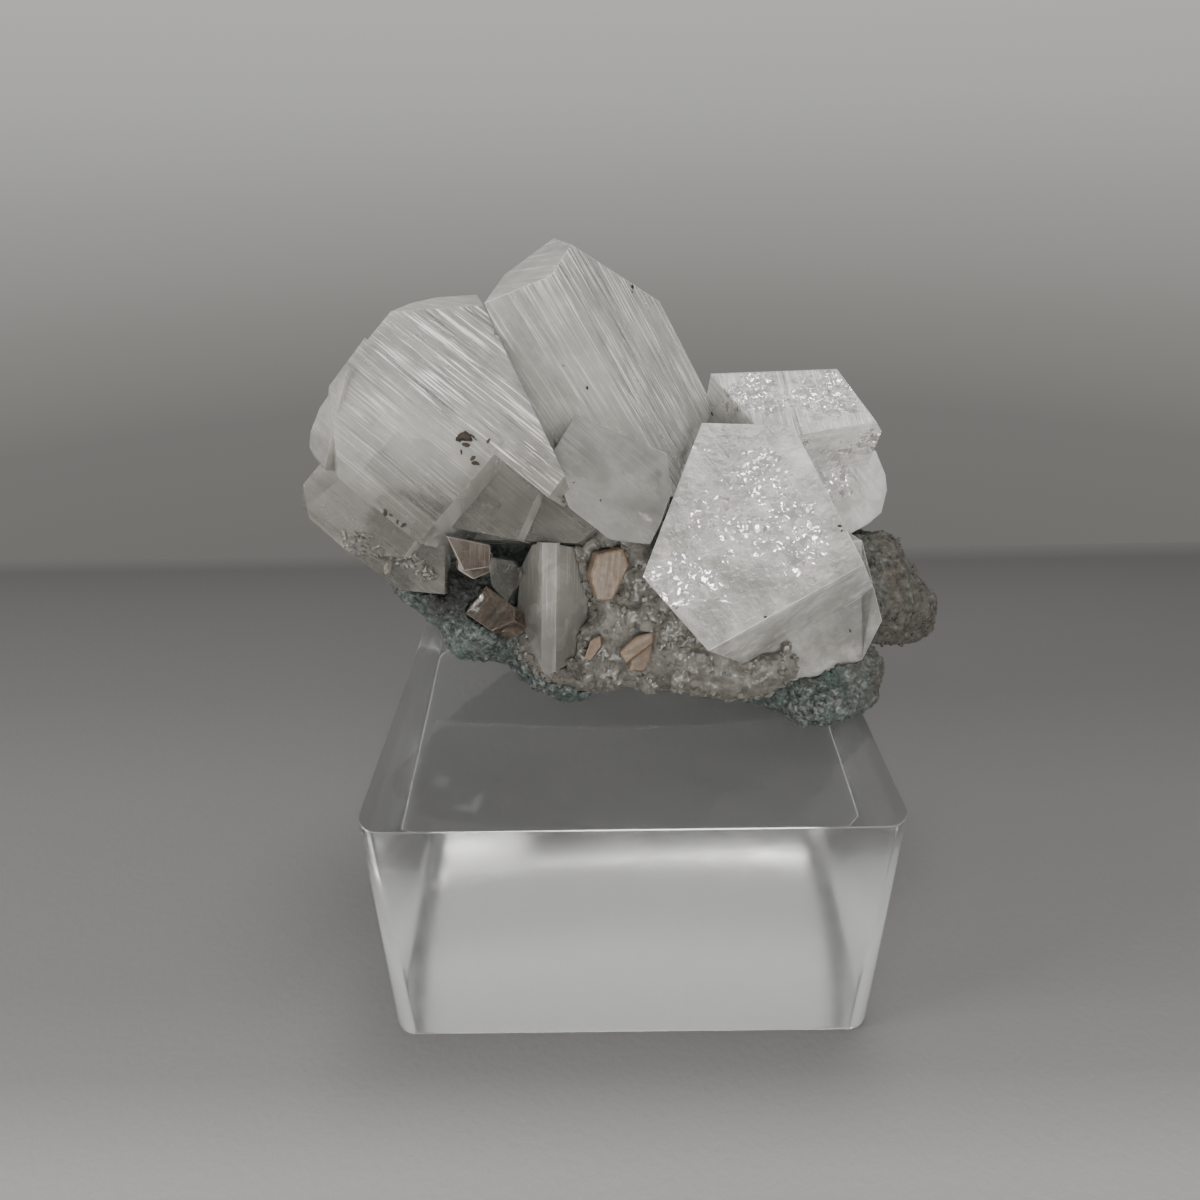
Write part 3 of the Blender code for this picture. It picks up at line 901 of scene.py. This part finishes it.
@dataclass(frozen=True)
class StepField:
    """Growth steps on one face of a crystal.

    point: a point of the face, in mm.
    facing: where the face looks, in degrees.
    line: direction of the steps in the face, in degrees.
    depth: deepest step, in mm.
    spacing: least and greatest distance between steps, in mm.
    strength: how strongly the finish draws its fine lines here.
    riser: width of the slope from one step to the next, in mm.
    run: mean distance between the cuts across the steps, in mm.
    tolerance: how far a face may lie from the point's plane, in mm.
    """
    point: Triple
    facing: Pair
    line: float
    depth: float = 0.1
    spacing: Pair = (0.3, 0.9)
    strength: float = 1.0
    riser: float = 0.05
    run: float = 1.7
    tolerance: float = 0.1

    def faces(self, bm: bmesh.types.BMesh) -> list[bmesh.types.BMFace]:
        """Faces of the mesh that lie in the plane of this field.

        Args:
            bm: the crystal's mesh.

        Returns:
            The faces.
        """
        normal, point = direction(self.facing), Vector(self.point) * MM
        return [face for face in bm.faces if face.normal.dot(normal) > SAME_WAY
                and abs((face.calc_center_median() - point).dot(normal)) < self.tolerance * MM]

    def carve(self, bm: bmesh.types.BMesh, seed: int) -> None:
        """Cut the face into strips and set them back by uneven depths.

        Args:
            bm: the crystal's mesh.
            seed: seed of the spacing.
        """
        faces = self.faces(bm)
        if not faces:
            log.warning("no face for the steps at %s", self.point)
            return
        rng = Random(seed)
        normal, along = direction(self.facing), in_face(self.facing, self.line)
        across = normal.cross(along)
        corners = [vert.co for face in faces for vert in face.verts]
        low, high = (pick(co.dot(across) for co in corners) / MM for pick in (min, max))
        start, end = (pick(co.dot(along) for co in corners) / MM for pick in (min, max))
        steps, place = [], low
        while place < high:
            place += rng.uniform(*self.spacing)
            steps.append(place)
        cuts = [(across, place + shift) for place in steps for shift in (0.0, self.riser)]
        reach = start
        while reach < end:
            reach += self.run * rng.uniform(0.7, 1.3)
            cuts.append((along, reach))
        mine = set(faces)
        for axis, place in cuts:
            geometry = list(mine)
            geometry += {edge for face in mine for edge in face.edges}
            geometry += {vert for face in mine for vert in face.verts}
            made = bmesh.ops.bisect_plane(bm, geom=geometry, dist=1e-7,
                                          plane_co=axis * place * MM, plane_no=axis)
            mine = {item for item in made["geom"] if isinstance(item, bmesh.types.BMFace)}
        levels = [rng.random() ** 1.5 for _ in range(len(steps) + 1)]
        for vert in {vert for face in mine for vert in face.verts}:
            over, run = vert.co.dot(across) / MM, vert.co.dot(along) / MM
            step = bisect_right(steps, over - 0.5 * self.riser)
            fade = 0.5 + 0.9 * noise.noise(Vector((step * 3.7, run * 0.12, seed * 1.3)))
            depth = self.depth * levels[step] * min(max(fade, 0.0), 1.0)
            vert.co -= normal * depth * MM


@dataclass(frozen=True)
class Crystal:
    """One crystal piece made of the CAD node of the same name.

    facing: azimuth and elevation of its front face, in degrees.
    axis: angle of its long axis in that face, in degrees.
    edge: width of the softened edges, in mm.
    rounding: number of strips that make a softened edge.
    steps: faces with growth steps.
    seed: seed of their spacing.
    """
    node: str
    slot: str
    facing: Pair
    axis: float
    finish: Apophyllite
    steps: tuple[StepField, ...] = ()
    edge: float = 0.14
    rounding: int = 1
    seed: int = 1

    def build(self, material: bpy.types.Material) -> bpy.types.Object:
        """Make the crystal in place of its CAD node.

        Args:
            material: its finish.

        Returns:
            The piece.
        """
        bm = node_bmesh(self.node)
        bmesh.ops.dissolve_limit(bm, angle_limit=math.radians(1.0), verts=bm.verts[:],
                                 edges=bm.edges[:])
        self.soften(bm)
        for number, field_ in enumerate(self.steps):
            field_.carve(bm, self.seed * 31 + number)
        self.mark(bm)
        bmesh.ops.triangulate(bm, faces=bm.faces[:])
        bm.normal_update()
        obj = add_object(f"{self.node}_grown", bm)
        dress(obj, material, [self.node])
        return obj

    def soften(self, bm: bmesh.types.BMesh) -> None:
        """Bevel the edges of the crystal by a small width.

        Args:
            bm: the crystal's mesh.
        """
        rim = bm.faces.layers.float.new(RIM_MARK)
        sharp = [edge for edge in bm.edges
                 if edge.is_manifold and edge.calc_face_angle(0.0) > SHARP_TURN]
        made = bmesh.ops.bevel(bm, geom=sharp, offset=self.edge * MM, segments=self.rounding,
                               profile=0.5, affect="EDGES", clamp_overlap=True)
        for face in made["faces"]:
            face[rim] = 1.0

    def mark(self, bm: bmesh.types.BMesh) -> None:
        """Lay the growth UV map and the strength of the lines on every face.

        Args:
            bm: the crystal's mesh.
        """
        long_axis = in_face(self.facing, self.axis)
        uv = bm.loops.layers.uv.new(GROWTH_MAP)
        striae = bm.faces.layers.float.new(LINES_MARK)
        strengths = {face: step.strength for step in self.steps for face in step.faces(bm)}
        lines = {face: in_face(step.facing, step.line) for step in self.steps
                 for face in step.faces(bm)}
        for face in bm.faces:
            tilt = abs(face.normal.dot(long_axis))
            kind = (Facet.PRISM if tilt < PRISM_MOST else
                    Facet.END if tilt > END_LEAST else Facet.PYRAMID)
            face[striae] = strengths.get(face, PLAIN_LINES[kind])
            along = lines.get(face, long_axis)
            across = face.normal.cross(along)
            if across.length < 0.2:
                across = face.normal.orthogonal()
            across.normalize()
            run = across.cross(face.normal)
            for loop in face.loops:
                place = loop.vert.co / MM
                loop[uv].uv = (place.dot(across), place.dot(run))


# Display block


@dataclass(frozen=True)
class DisplayBlock:
    """Clear acrylic block with rounded corners and polished edges, in mm.

    corner: radius of the upright edges.
    polish: width of the softened edges round the top and the underside.
    """
    side: float = 50.0
    height: float = 28.3
    corner: float = 2.6
    corner_steps: int = 14
    polish: float = 0.15
    polish_steps: int = 3

    def build(self, material: bpy.types.Material) -> bpy.types.Object:
        """Make the block in place of its CAD node.

        Args:
            material: its finish.

        Returns:
            The piece.
        """
        inner = self.side / 2 - self.corner
        centres = ((inner, inner), (-inner, inner), (-inner, -inner), (inner, -inner))
        bm = bmesh.new()
        outline = []
        for quarter, (x, y) in enumerate(centres):
            for step in range(self.corner_steps + 1):
                turn = math.radians(90 * (quarter + step / self.corner_steps))
                outline.append(bm.verts.new(((x + self.corner * math.cos(turn)) * MM,
                                             (y + self.corner * math.sin(turn)) * MM, 0.0)))
        bottom = bm.faces.new(outline)
        raised = bmesh.ops.extrude_face_region(bm, geom=[bottom])
        for item in raised["geom"]:
            if isinstance(item, bmesh.types.BMVert):
                item.co.z = self.height * MM
        bmesh.ops.recalc_face_normals(bm, faces=bm.faces[:])
        rims = [edge for edge in bm.edges if edge.verts[0].co.z == edge.verts[1].co.z]
        bmesh.ops.bevel(bm, geom=rims, offset=self.polish * MM, segments=self.polish_steps,
                        profile=0.5, affect="EDGES")
        block = add_object("acrylic_block", bm)
        smooth(block, 35.0)
        dress(block, material, ["display_block"])
        return block


# Rocky parts


@dataclass(frozen=True)
class RockySkin:
    """Rough body made of a CAD node, with noise relief and grains on it.

    node, slot: the CAD node that it replaces, and its material slot, which is not used.
    name, grain_name: names of the body and of the piece with its grains.
    voxel: size of the mesh grid, in mm.
    relief: (features to a mm, height in mm) of each layer of noise.
    lift: how far the whole skin stands out, in mm.
    grains: the grains on it.
    least: smallest cosine between the skin's normal and the front where grains stand.
    front: direction that the side with the grains looks to.
    floor: height that the skin stays above, in mm.
    shift: where in the noise the skin lies.
    """
    node: str
    slot: str
    name: str
    grain_name: str
    voxel: float
    relief: tuple[Pair, ...]
    lift: float
    grains: Scatter
    least: float
    front: Triple = (0.0, -0.85, 0.5)
    floor: float = 28.45
    shift: Triple = (3.1, 7.7, 1.9)

    def build(self, material: bpy.types.Material) -> None:
        """Make the skin in place of its CAD node, and its grains.

        Args:
            material: their finish.
        """
        obj = remeshed(self.name, node_bmesh(self.node), self.voxel)
        mesh = obj.data
        normals = [vert.normal.copy() for vert in mesh.vertices]
        shift = Vector(self.shift)
        for vert, normal in zip(mesh.vertices, normals):
            place = vert.co / MM + shift
            move = self.lift
            for scale, height in self.relief:
                move += height * (0.5 - 1.6 * abs(noise.noise(place * scale)))
            vert.co += normal * move * MM
            vert.co.z = max(vert.co.z, self.floor * MM)
        smooth(obj, 40.0)
        dress(obj, material, [self.node])
        layer, front = mesh.attributes.new(COVER_MARK, "FLOAT", "POINT"), Vector(self.front)
        for vert in mesh.vertices:
            layer.data[vert.index].value = float(vert.normal.dot(front) > self.least)
        dress(self.grains.grow(self.grain_name, mesh, material), material)


# Stage


@dataclass(frozen=True)
class Stage:
    """Floor, surround, lights and camera. Distances are in mm, turns in degrees.

    table_edge, table_half: where the floor ends behind, and half its width.
    floor_drop: how far the floor lies under the block.
    surround: shades of the surround from straight below (0) to straight above (1).
    lights: name, place, target, size and watts of each square light.
    lens: focal length on a sensor 36 mm wide.
    """
    table_edge: float = 93.6
    table_half: float = 900.0
    floor_drop: float = 0.2
    surround: Stops = (
        (0.2, (0.12, 0.12, 0.12)), (0.29, (0.165, 0.16, 0.15)), (0.37, (0.185, 0.18, 0.17)),
        (0.42, (0.255, 0.25, 0.235)), (0.475, (0.36, 0.355, 0.34)),
        (0.52, (0.47, 0.465, 0.45)), (0.56, (0.53, 0.52, 0.5)), (0.7, (0.5, 0.495, 0.48)),
        (0.84, (0.64, 0.635, 0.625)), (0.9, (0.48, 0.475, 0.465)), (1.0, (0.52, 0.515, 0.505)))
    light_colour: Triple = (1.0, 0.975, 0.94)
    lights: tuple[tuple[str, Triple, Triple, float, float], ...] = (
        ("light_top", (40.0, 60.0, 420.0), (0.0, 10.0, 30.0), 140.0, 0.6),
        ("light_left", (-380.0, -120.0, 220.0), (0.0, 0.0, 50.0), 120.0, 0.75),
        ("light_front", (60.0, -470.0, 110.0), (0.0, 0.0, 45.0), 200.0, 1.45))
    camera_place: Triple = (-2.2, -80.8, 81.9)
    pitch: float = 28.55
    yaw: float = -0.38
    roll: float = -0.99
    lens: float = 25.275

    def build_ground(self) -> None:
        """Pale floor that ends behind the block."""
        half, edge, low = self.table_half, self.table_edge, -self.floor_drop
        bm = bmesh.new()
        bm.faces.new([bm.verts.new(Vector((x, y, low)) * MM) for x, y in (
            (-half, -half), (half, -half), (half, edge), (-half, edge))])
        floor = add_object("stage_floor", bm)
        floor.data.materials.append(FloorPlaster(edge).make())

    def area(self, name: str, place: Triple, target: Triple, size: float,
             power: float) -> None:
        """A square soft light.

        Args:
            name: its name.
            place: where it hangs, in mm.
            target: what it faces, in mm.
            size: side, in mm.
            power: watts.
        """
        light = bpy.data.lights.new(name, "AREA")
        light.size = size * MM
        light.energy = power
        light.color = self.light_colour
        obj = linked(name, light)
        obj.location = Vector(place) * MM
        aim = (Vector(target) - Vector(place)).normalized()
        obj.rotation_euler = aim.to_track_quat("-Z", "Y").to_euler()

    def build_light(self) -> None:
        """Soft grey surround that brightens upwards, and three weak soft lights."""
        world = bpy.data.worlds.new("studio")
        world.use_nodes = True
        tree = Nodes(world.node_tree)
        outwards = tree.node("ShaderNodeTexCoord", {}, {}, "Generated")
        height = tree.node("ShaderNodeSeparateXYZ", {}, {0: outwards}, "Z")
        share = tree.node("ShaderNodeMapRange", {}, {"Value": height, "From Min": -1.0})
        tree.feed(world.node_tree.nodes["Background"].inputs["Color"],
                  tree.node("ShaderNodeValToRGB", {"stops": self.surround}, {0: share}))
        bpy.context.scene.world = world
        for light in self.lights:
            self.area(*light)

    def build_camera(self) -> None:
        """Camera at the photograph's viewing angle."""
        pitch, yaw, roll = (math.radians(turn) for turn in (self.pitch, self.yaw, self.roll))
        ahead = Vector((math.sin(yaw) * math.cos(pitch), math.cos(yaw) * math.cos(pitch),
                        -math.sin(pitch)))
        level = Vector((math.cos(yaw), -math.sin(yaw), 0.0))
        above = level.cross(ahead)
        right = level * math.cos(roll) + above * math.sin(roll)
        up = above * math.cos(roll) - level * math.sin(roll)
        data = bpy.data.cameras.new("camera")
        data.lens = self.lens
        data.sensor_width = 36.0
        data.clip_start, data.clip_end = 0.005, 20.0
        camera = linked("camera", data)
        turn = Matrix((right, up, -ahead)).transposed().to_4x4()
        camera.matrix_world = Matrix.Translation(Vector(self.camera_place) * MM) @ turn
        bpy.context.scene.camera = camera


# The specimen

LEFT = Apophyllite("left_apophyllite", milk=(0.34, 0.54), clearing=(50.0, 59.0),
                   clear_share=0.5, tint=(0.71, 0.695, 0.655), warm=(0.46, 0.44, 0.395),
                   rims=0.1, lines=1.3, sectors=0.22, underside_shade=0.6)
CENTRE = Apophyllite("centre_apophyllite", milk=(0.36, 0.56), clearing=(50.0, 60.0),
                     clear_share=0.62, tint=(0.76, 0.745, 0.71), warm=(0.62, 0.62, 0.58),
                     lines=1.7, clouds=0.25, sectors=0.08,
                     cracks=(Patch((-2.5, -5.0, 48.6), 2.4), Patch((1.0, -6.0, 47.8), 2.0)))
FRONT = Apophyllite("front_apophyllite", milk=(0.4, 0.58), tint=(0.72, 0.705, 0.665),
                    clearing=(34.0, 42.0), clear_share=0.9, warm=(0.68, 0.66, 0.62),
                    rough=(0.03, 0.12), grain=0.4, lines=0.3, clouds=0.6, ragged=1.0, cracks=(
                        Patch((15.3, -9.0, 49.2), 5.8), Patch((15.2, -6.2, 51.2), 4.6),
                        Patch((12.9, -2.5, 53.5), 5.0), Patch((4.9, -12.0, 46.3), 5.2),
                        Patch((8.2, -6.5, 50.6), 4.4), Patch((11.0, -8.5, 49.5), 4.0),
                        # The last cracked patch is a painted highlight: bright metallic grains
                        # along the crystal's upper left edge.
                        Patch((7.1, 1.5, 54.0), 3.4)),
                    windows=(Patch((11.3, 0.2, 54.8), 6.0),))
BACK = Apophyllite("back_apophyllite", milk=(0.55, 0.72), tint=(0.94, 0.925, 0.89),
                   rough=(0.03, 0.12), grain=0.3, lines=1.6, clouds=0.45, ragged=0.8, cracks=(
                       # The cracked patches here sit where the crystal shows bright highlights:
                       # partly inner cracks, partly painted glints.
                       Patch((14.0, 9.4, 57.8), 5.4), Patch((21.8, 9.2, 57.6), 6.4),
                       Patch((19.0, 4.8, 53.5), 2.6), Patch((22.5, 7.0, 51.6), 3.8),
                       Patch((26.7, 7.4, 52.9), 4.0), Patch((23.5, 8.0, 48.6), 3.4)))
CLEAR = Apophyllite("clear_apophyllite", milk=(0.66, 0.82), tint=(0.34, 0.33, 0.305),
                    absorb=((0.8, 0.82, 0.76), 10.0), rough=(0.05, 0.2), lines=0.5, rims=0.05,
                    clearing=(38.0, 44.0), clear_share=0.9, warm=(0.25, 0.245, 0.225))
GLASSY = Apophyllite("glassy_apophyllite", milk=(0.05, 0.2), tint=(0.2, 0.19, 0.17), lines=0.2,
                     absorb=((0.6, 0.57, 0.5), 300.0), rough=(0.02, 0.1), rims=0.3)
BROWN = Apophyllite("brown_apophyllite", milk=(0.1, 0.4), tint=(0.2, 0.13, 0.08), ragged=0.2,
                    absorb=((0.62, 0.46, 0.3), 160.0), rough=(0.02, 0.1), rims=0.12,
                    # The cracked patch is a painted glint: bright metallic grains where a facet
                    # of the crystal catches the light.
                    cracks=(Patch((-15.2, -7.2, 41.9), 1.5),))
PLATE = Apophyllite("plate_apophyllite", milk=(0.35, 0.6), tint=(0.13, 0.09, 0.06),
                    absorb=((0.7, 0.56, 0.42), 140.0), rough=(0.04, 0.15), rims=0.25,
                    lines=0.25)

CRYSTALS = (
    Crystal("left_crystals", "milky_apophyllite", (-12.0, 30.0), 146.0, LEFT, (
        StepField((-19.3, -3.0, 60.1), (-12.0, 30.0), 146.0, 0.12, (0.25, 0.85)),
        StepField((-19.4, -2.7, 60.1), (-12.0, 30.0), 146.0, 0.07, (0.7, 2.2), 0.45)),
            edge=0.35, rounding=3, seed=3),
    Crystal("centre_crystal", "milky_apophyllite", (-20.0, -22.0), 112.0, CENTRE, (
        StepField((-6.6, -5.0, 72.3), (61.4, 20.3), 113.5, 0.12, (0.25, 0.8)),
        StepField((-6.6, -5.0, 72.3), (-20.0, -22.0), 112.0, 0.05, (0.9, 2.6), 0.4)),
            edge=0.4, rounding=3, seed=5),
    Crystal("front_right_crystal", "milky_apophyllite", (-8.0, 56.0), -136.0, FRONT, (
        StepField((11.4, -9.0, 49.0), (-8.0, 56.0), -55.0, 0.05, (1.2, 3.4), 0.15),),
            edge=0.25, rounding=2, seed=7),
    Crystal("back_right_crystal", "milky_apophyllite", (5.0, 62.0), -55.0, BACK, (
        StepField((16.9, 9.0, 57.7), (5.0, 62.0), 90.0, 0.14, (0.4, 1.2), 0.8),),
            edge=0.5, rounding=3, seed=9),
    Crystal("lower_centre_crystal", "clear_apophyllite", (-5.0, 20.0), 90.0, CLEAR,
            edge=0.3, rounding=3, seed=11),
    Crystal("small_brown_crystal", "brown_apophyllite", (-20.0, 40.0), 60.0, BROWN, seed=13,
            edge=0.08),
    Crystal("brown_plate_crystal", "brown_apophyllite", (20.0, 15.0), 80.0, PLATE, seed=15,
            edge=0.12),
    Crystal("small_clear_crystal", "clear_apophyllite", (0.0, 25.0), 80.0, GLASSY, seed=17,
            edge=0.08),
)


@dataclass(frozen=True)
class Blades:
    """Stilbite blades made of a CAD node, rounded and ribbed.

    facing: where the blades look, in degrees.
    line: direction of the ribs in that face, in degrees.
    voxel: size of the mesh grid, in mm.
    rounding: number of times that the mesh is smoothed.
    rib: height of the ribs, in mm.
    """
    node: str
    facing: Pair
    line: float
    voxel: float = 0.14
    rounding: int = 3
    rib: float = 0.02
    ribs_per_mm: float = 1.6

    def build(self, material: bpy.types.Material) -> bpy.types.Object:
        """Make the blades in place of their CAD node.

        Args:
            material: their finish.

        Returns:
            The piece.
        """
        obj = remeshed(f"{self.node}_ribbed", node_bmesh(self.node), self.voxel)
        bm = opened(obj.data)
        for _ in range(self.rounding):
            bmesh.ops.smooth_vert(bm, verts=bm.verts[:], factor=0.5, use_axis_x=True,
                                  use_axis_y=True, use_axis_z=True)
        normal, along = direction(self.facing), in_face(self.facing, self.line)
        across = normal.cross(along)
        bm.normal_update()
        uv = bm.loops.layers.uv.new(GROWTH_MAP)
        for vert in bm.verts:
            place = vert.co / MM
            over, run = place.dot(across), place.dot(along)
            rib = abs(noise.noise(Vector((over * self.ribs_per_mm, run * 0.25, 4.4))))
            vert.co += vert.normal * (self.rib * (1.0 - 3.0 * rib)) * MM
        for face in bm.faces:
            for loop in face.loops:
                place = loop.vert.co / MM
                loop[uv].uv = (place.dot(across), place.dot(along))
        bm.to_mesh(obj.data)
        bm.free()
        smooth(obj, 50.0)
        dress(obj, material, [self.node])
        return obj


@dataclass(frozen=True)
class Speck:
    """A grain of dirt on a crystal: piece, place and size in mm."""
    node: str
    place: Triple
    size: float


# Place and size of the dirt on each crystal, in mm
DIRT = {
    "left_crystals": (
        (-14.7, -4.9, 58.0, 1.2), (-15.4, -4.8, 58.1, 0.8), (-14.0, -5.1, 58.1, 0.7),
        (-14.9, -5.3, 57.3, 0.5), (-12.7, -5.7, 57.9, 0.4), (-15.3, -5.5, 56.8, 0.4),
        (-14.0, -6.3, 55.9, 0.6), (-14.2, -6.0, 56.4, 0.4), (-22.8, -7.0, 51.5, 0.5),
        (-22.2, -7.2, 51.2, 0.35), (-20.8, -8.0, 50.6, 0.5), (-21.6, -7.7, 50.9, 0.3)),
    "centre_crystal": (
        (0.9, 6.5, 69.4, 0.5), (0.7, 6.3, 68.8, 0.3), (-3.6, -1.4, 61.5, 0.3),
        (-5.8, -1.6, 63.6, 0.25), (-5.0, -4.7, 53.3, 0.25), (-2.5, -5.6, 51.8, 0.2)),
    "back_right_crystal": ((10.2, 12.8, 54.6, 0.35),),
    "front_right_crystal": (
        (19.8, -8.5, 50.1, 0.35), (19.9, -8.9, 49.6, 0.25), (22.3, -8.1, 38.5, 0.35),
        (12.0, -15.7, 44.5, 0.3))}
DIRT_SPECKS = tuple(Speck(node, (x, y, z), size) for node, spots in DIRT.items()
                    for x, y, z, size in spots)


def strewn(node: str, start: Triple, end: Triple, spread: float, count: int,
           seed: int) -> tuple[Speck, ...]:
    """Grains at random places round a line near a crystal.

    Args:
        node: the crystal's node.
        start: one end of the line, in mm.
        end: its other end.
        spread: how far the grains stray from it.
        count: number of grains.
        seed: seed of the random draws.

    Returns:
        The grains.
    """
    rng = Random(seed)
    specks = []
    for _ in range(count):
        place = Vector(start).lerp(Vector(end), rng.random())
        place += Vector([rng.gauss(0.0, spread) for _ in range(3)])
        specks.append(Speck(node, tuple(place), rng.uniform(0.4, 1.1)))
    return tuple(specks)


@dataclass(frozen=True)
class Dirt:
    """Dark brown grains."""

    def make(self) -> bpy.types.Material:
        """The material."""
        g = Graph("dark_dirt")
        colour = g.ramp(g.noise(g.place, 2.4, 4.0), (0.35, (0.008, 0.006, 0.004)),
                        (0.65, (0.06, 0.042, 0.028)))
        return g.finish(g.principled(Base_Color=colour, Roughness=0.7,
                                     Normal=g.bump(g.noise(g.place, 4.0, 4.0), 0.1)))


@dataclass(frozen=True)
class Specks:
    """Small uneven grains that sit on the crystals.

    flatness: height of a grain as a share of its size.
    unevenness: how far its outline strays from round.
    """
    name: str
    slot: str
    specks: tuple[Speck, ...]
    flatness: float = 0.35
    unevenness: float = 0.6

    def build(self, grown: dict[str, bpy.types.Object],
              material: bpy.types.Material) -> bpy.types.Object:
        """Make all grains as one piece.

        Args:
            grown: the crystals by their node.
            material: their finish.

        Returns:
            The piece.
        """
        surfaces = {node: self.surface(piece) for node, piece in grown.items()}
        bm = bmesh.new()
        for number, speck in enumerate(self.specks):
            foot, normal, *_ = surfaces[speck.node].find_nearest(Vector(speck.place) * MM)
            made = bmesh.ops.create_icosphere(bm, subdivisions=2, radius=speck.size / 2 * MM)
            turn = normal.to_track_quat("Z", "Y").to_matrix() @ Matrix.Rotation(number, 3, "Z")
            for vert in made["verts"]:
                rough = noise.noise(vert.co / MM * 2.2 + Vector((number * 3.1, 0.0, 0.0)))
                spread = vert.co * (1.0 + self.unevenness * 2.0 * rough)
                spread = Vector((spread.x * 1.3, spread.y * 0.7, spread.z * self.flatness))
                vert.co = foot + turn @ spread
        obj = add_object(self.name, bm)
        dress(obj, material)
        log.info("%s: %d grains", self.name, len(self.specks))
        return obj

    @staticmethod
    def surface(piece: bpy.types.Object) -> BVHTree:
        """Search tree of a piece.

        Args:
            piece: the piece.

        Returns:
            The tree.
        """
        bm = opened(piece.data)
        tree = BVHTree.FromBMesh(bm)
        bm.free()
        return tree


ROCK = RockySkin("matrix", "matrix_rock", "matrix_rock_body", "rock_grains", 0.38,
                 ((0.3, 0.3), (0.9, 0.35), (2.4, 0.2)), 0.1,
                 Scatter(Grain.LUMP, 0.7, (0.2, 0.65), 6), -0.4)
CRUST = RockySkin("drusy_crust", "drusy_crust", "drusy_skin", "drusy_crystals", 0.34,
                  ((0.6, 0.25), (1.7, 0.15)), 0.2,
                  Scatter(Grain.BLOCK, 1.0, (0.2, 0.62), 4), 0.0)
CRUMBS = strewn("left_crystals", (-27.4, -5.0, 47.8), (-19.4, -6.4, 44.4), 0.45, 46, 21)
BLADES = (Blades("stilbite_blade", (10.0, 20.0), 80.0),
          Blades("stilbite_fan", (5.0, 30.0), 20.0, rounding=2),
          Blades("small_stilbite_blade", (-10.0, 30.0), 60.0, 0.1, 2))


def build_specimen() -> None:
    """Build every piece of the specimen."""
    DisplayBlock().build(ClearAcrylic().make())
    finishes = {crystal.finish: crystal.finish.make() for crystal in CRYSTALS}
    grown = {crystal.node: crystal.build(finishes[crystal.finish]) for crystal in CRYSTALS}
    Specks("dirt_specks", "matrix_rock", DIRT_SPECKS).build(grown, Dirt().make())
    ROCK.build(MatrixRock().make())
    drusy = DrusySkin().make()
    Specks("pale_crumbs", "drusy_crust", CRUMBS, flatness=0.7).build(grown, drusy)
    CRUST.build(drusy)
    stilbite = Stilbite().make()
    for blades in BLADES:
        blades.build(stilbite)


def main() -> None:
    """Build the stage and the specimen, and note the sizes."""
    logging.basicConfig(level=logging.INFO, format="%(name)s: %(message)s")
    stage = Stage()
    stage.build_camera()
    stage.build_ground()
    stage.build_light()
    build_specimen()


if __name__ == "__main__":
    main()
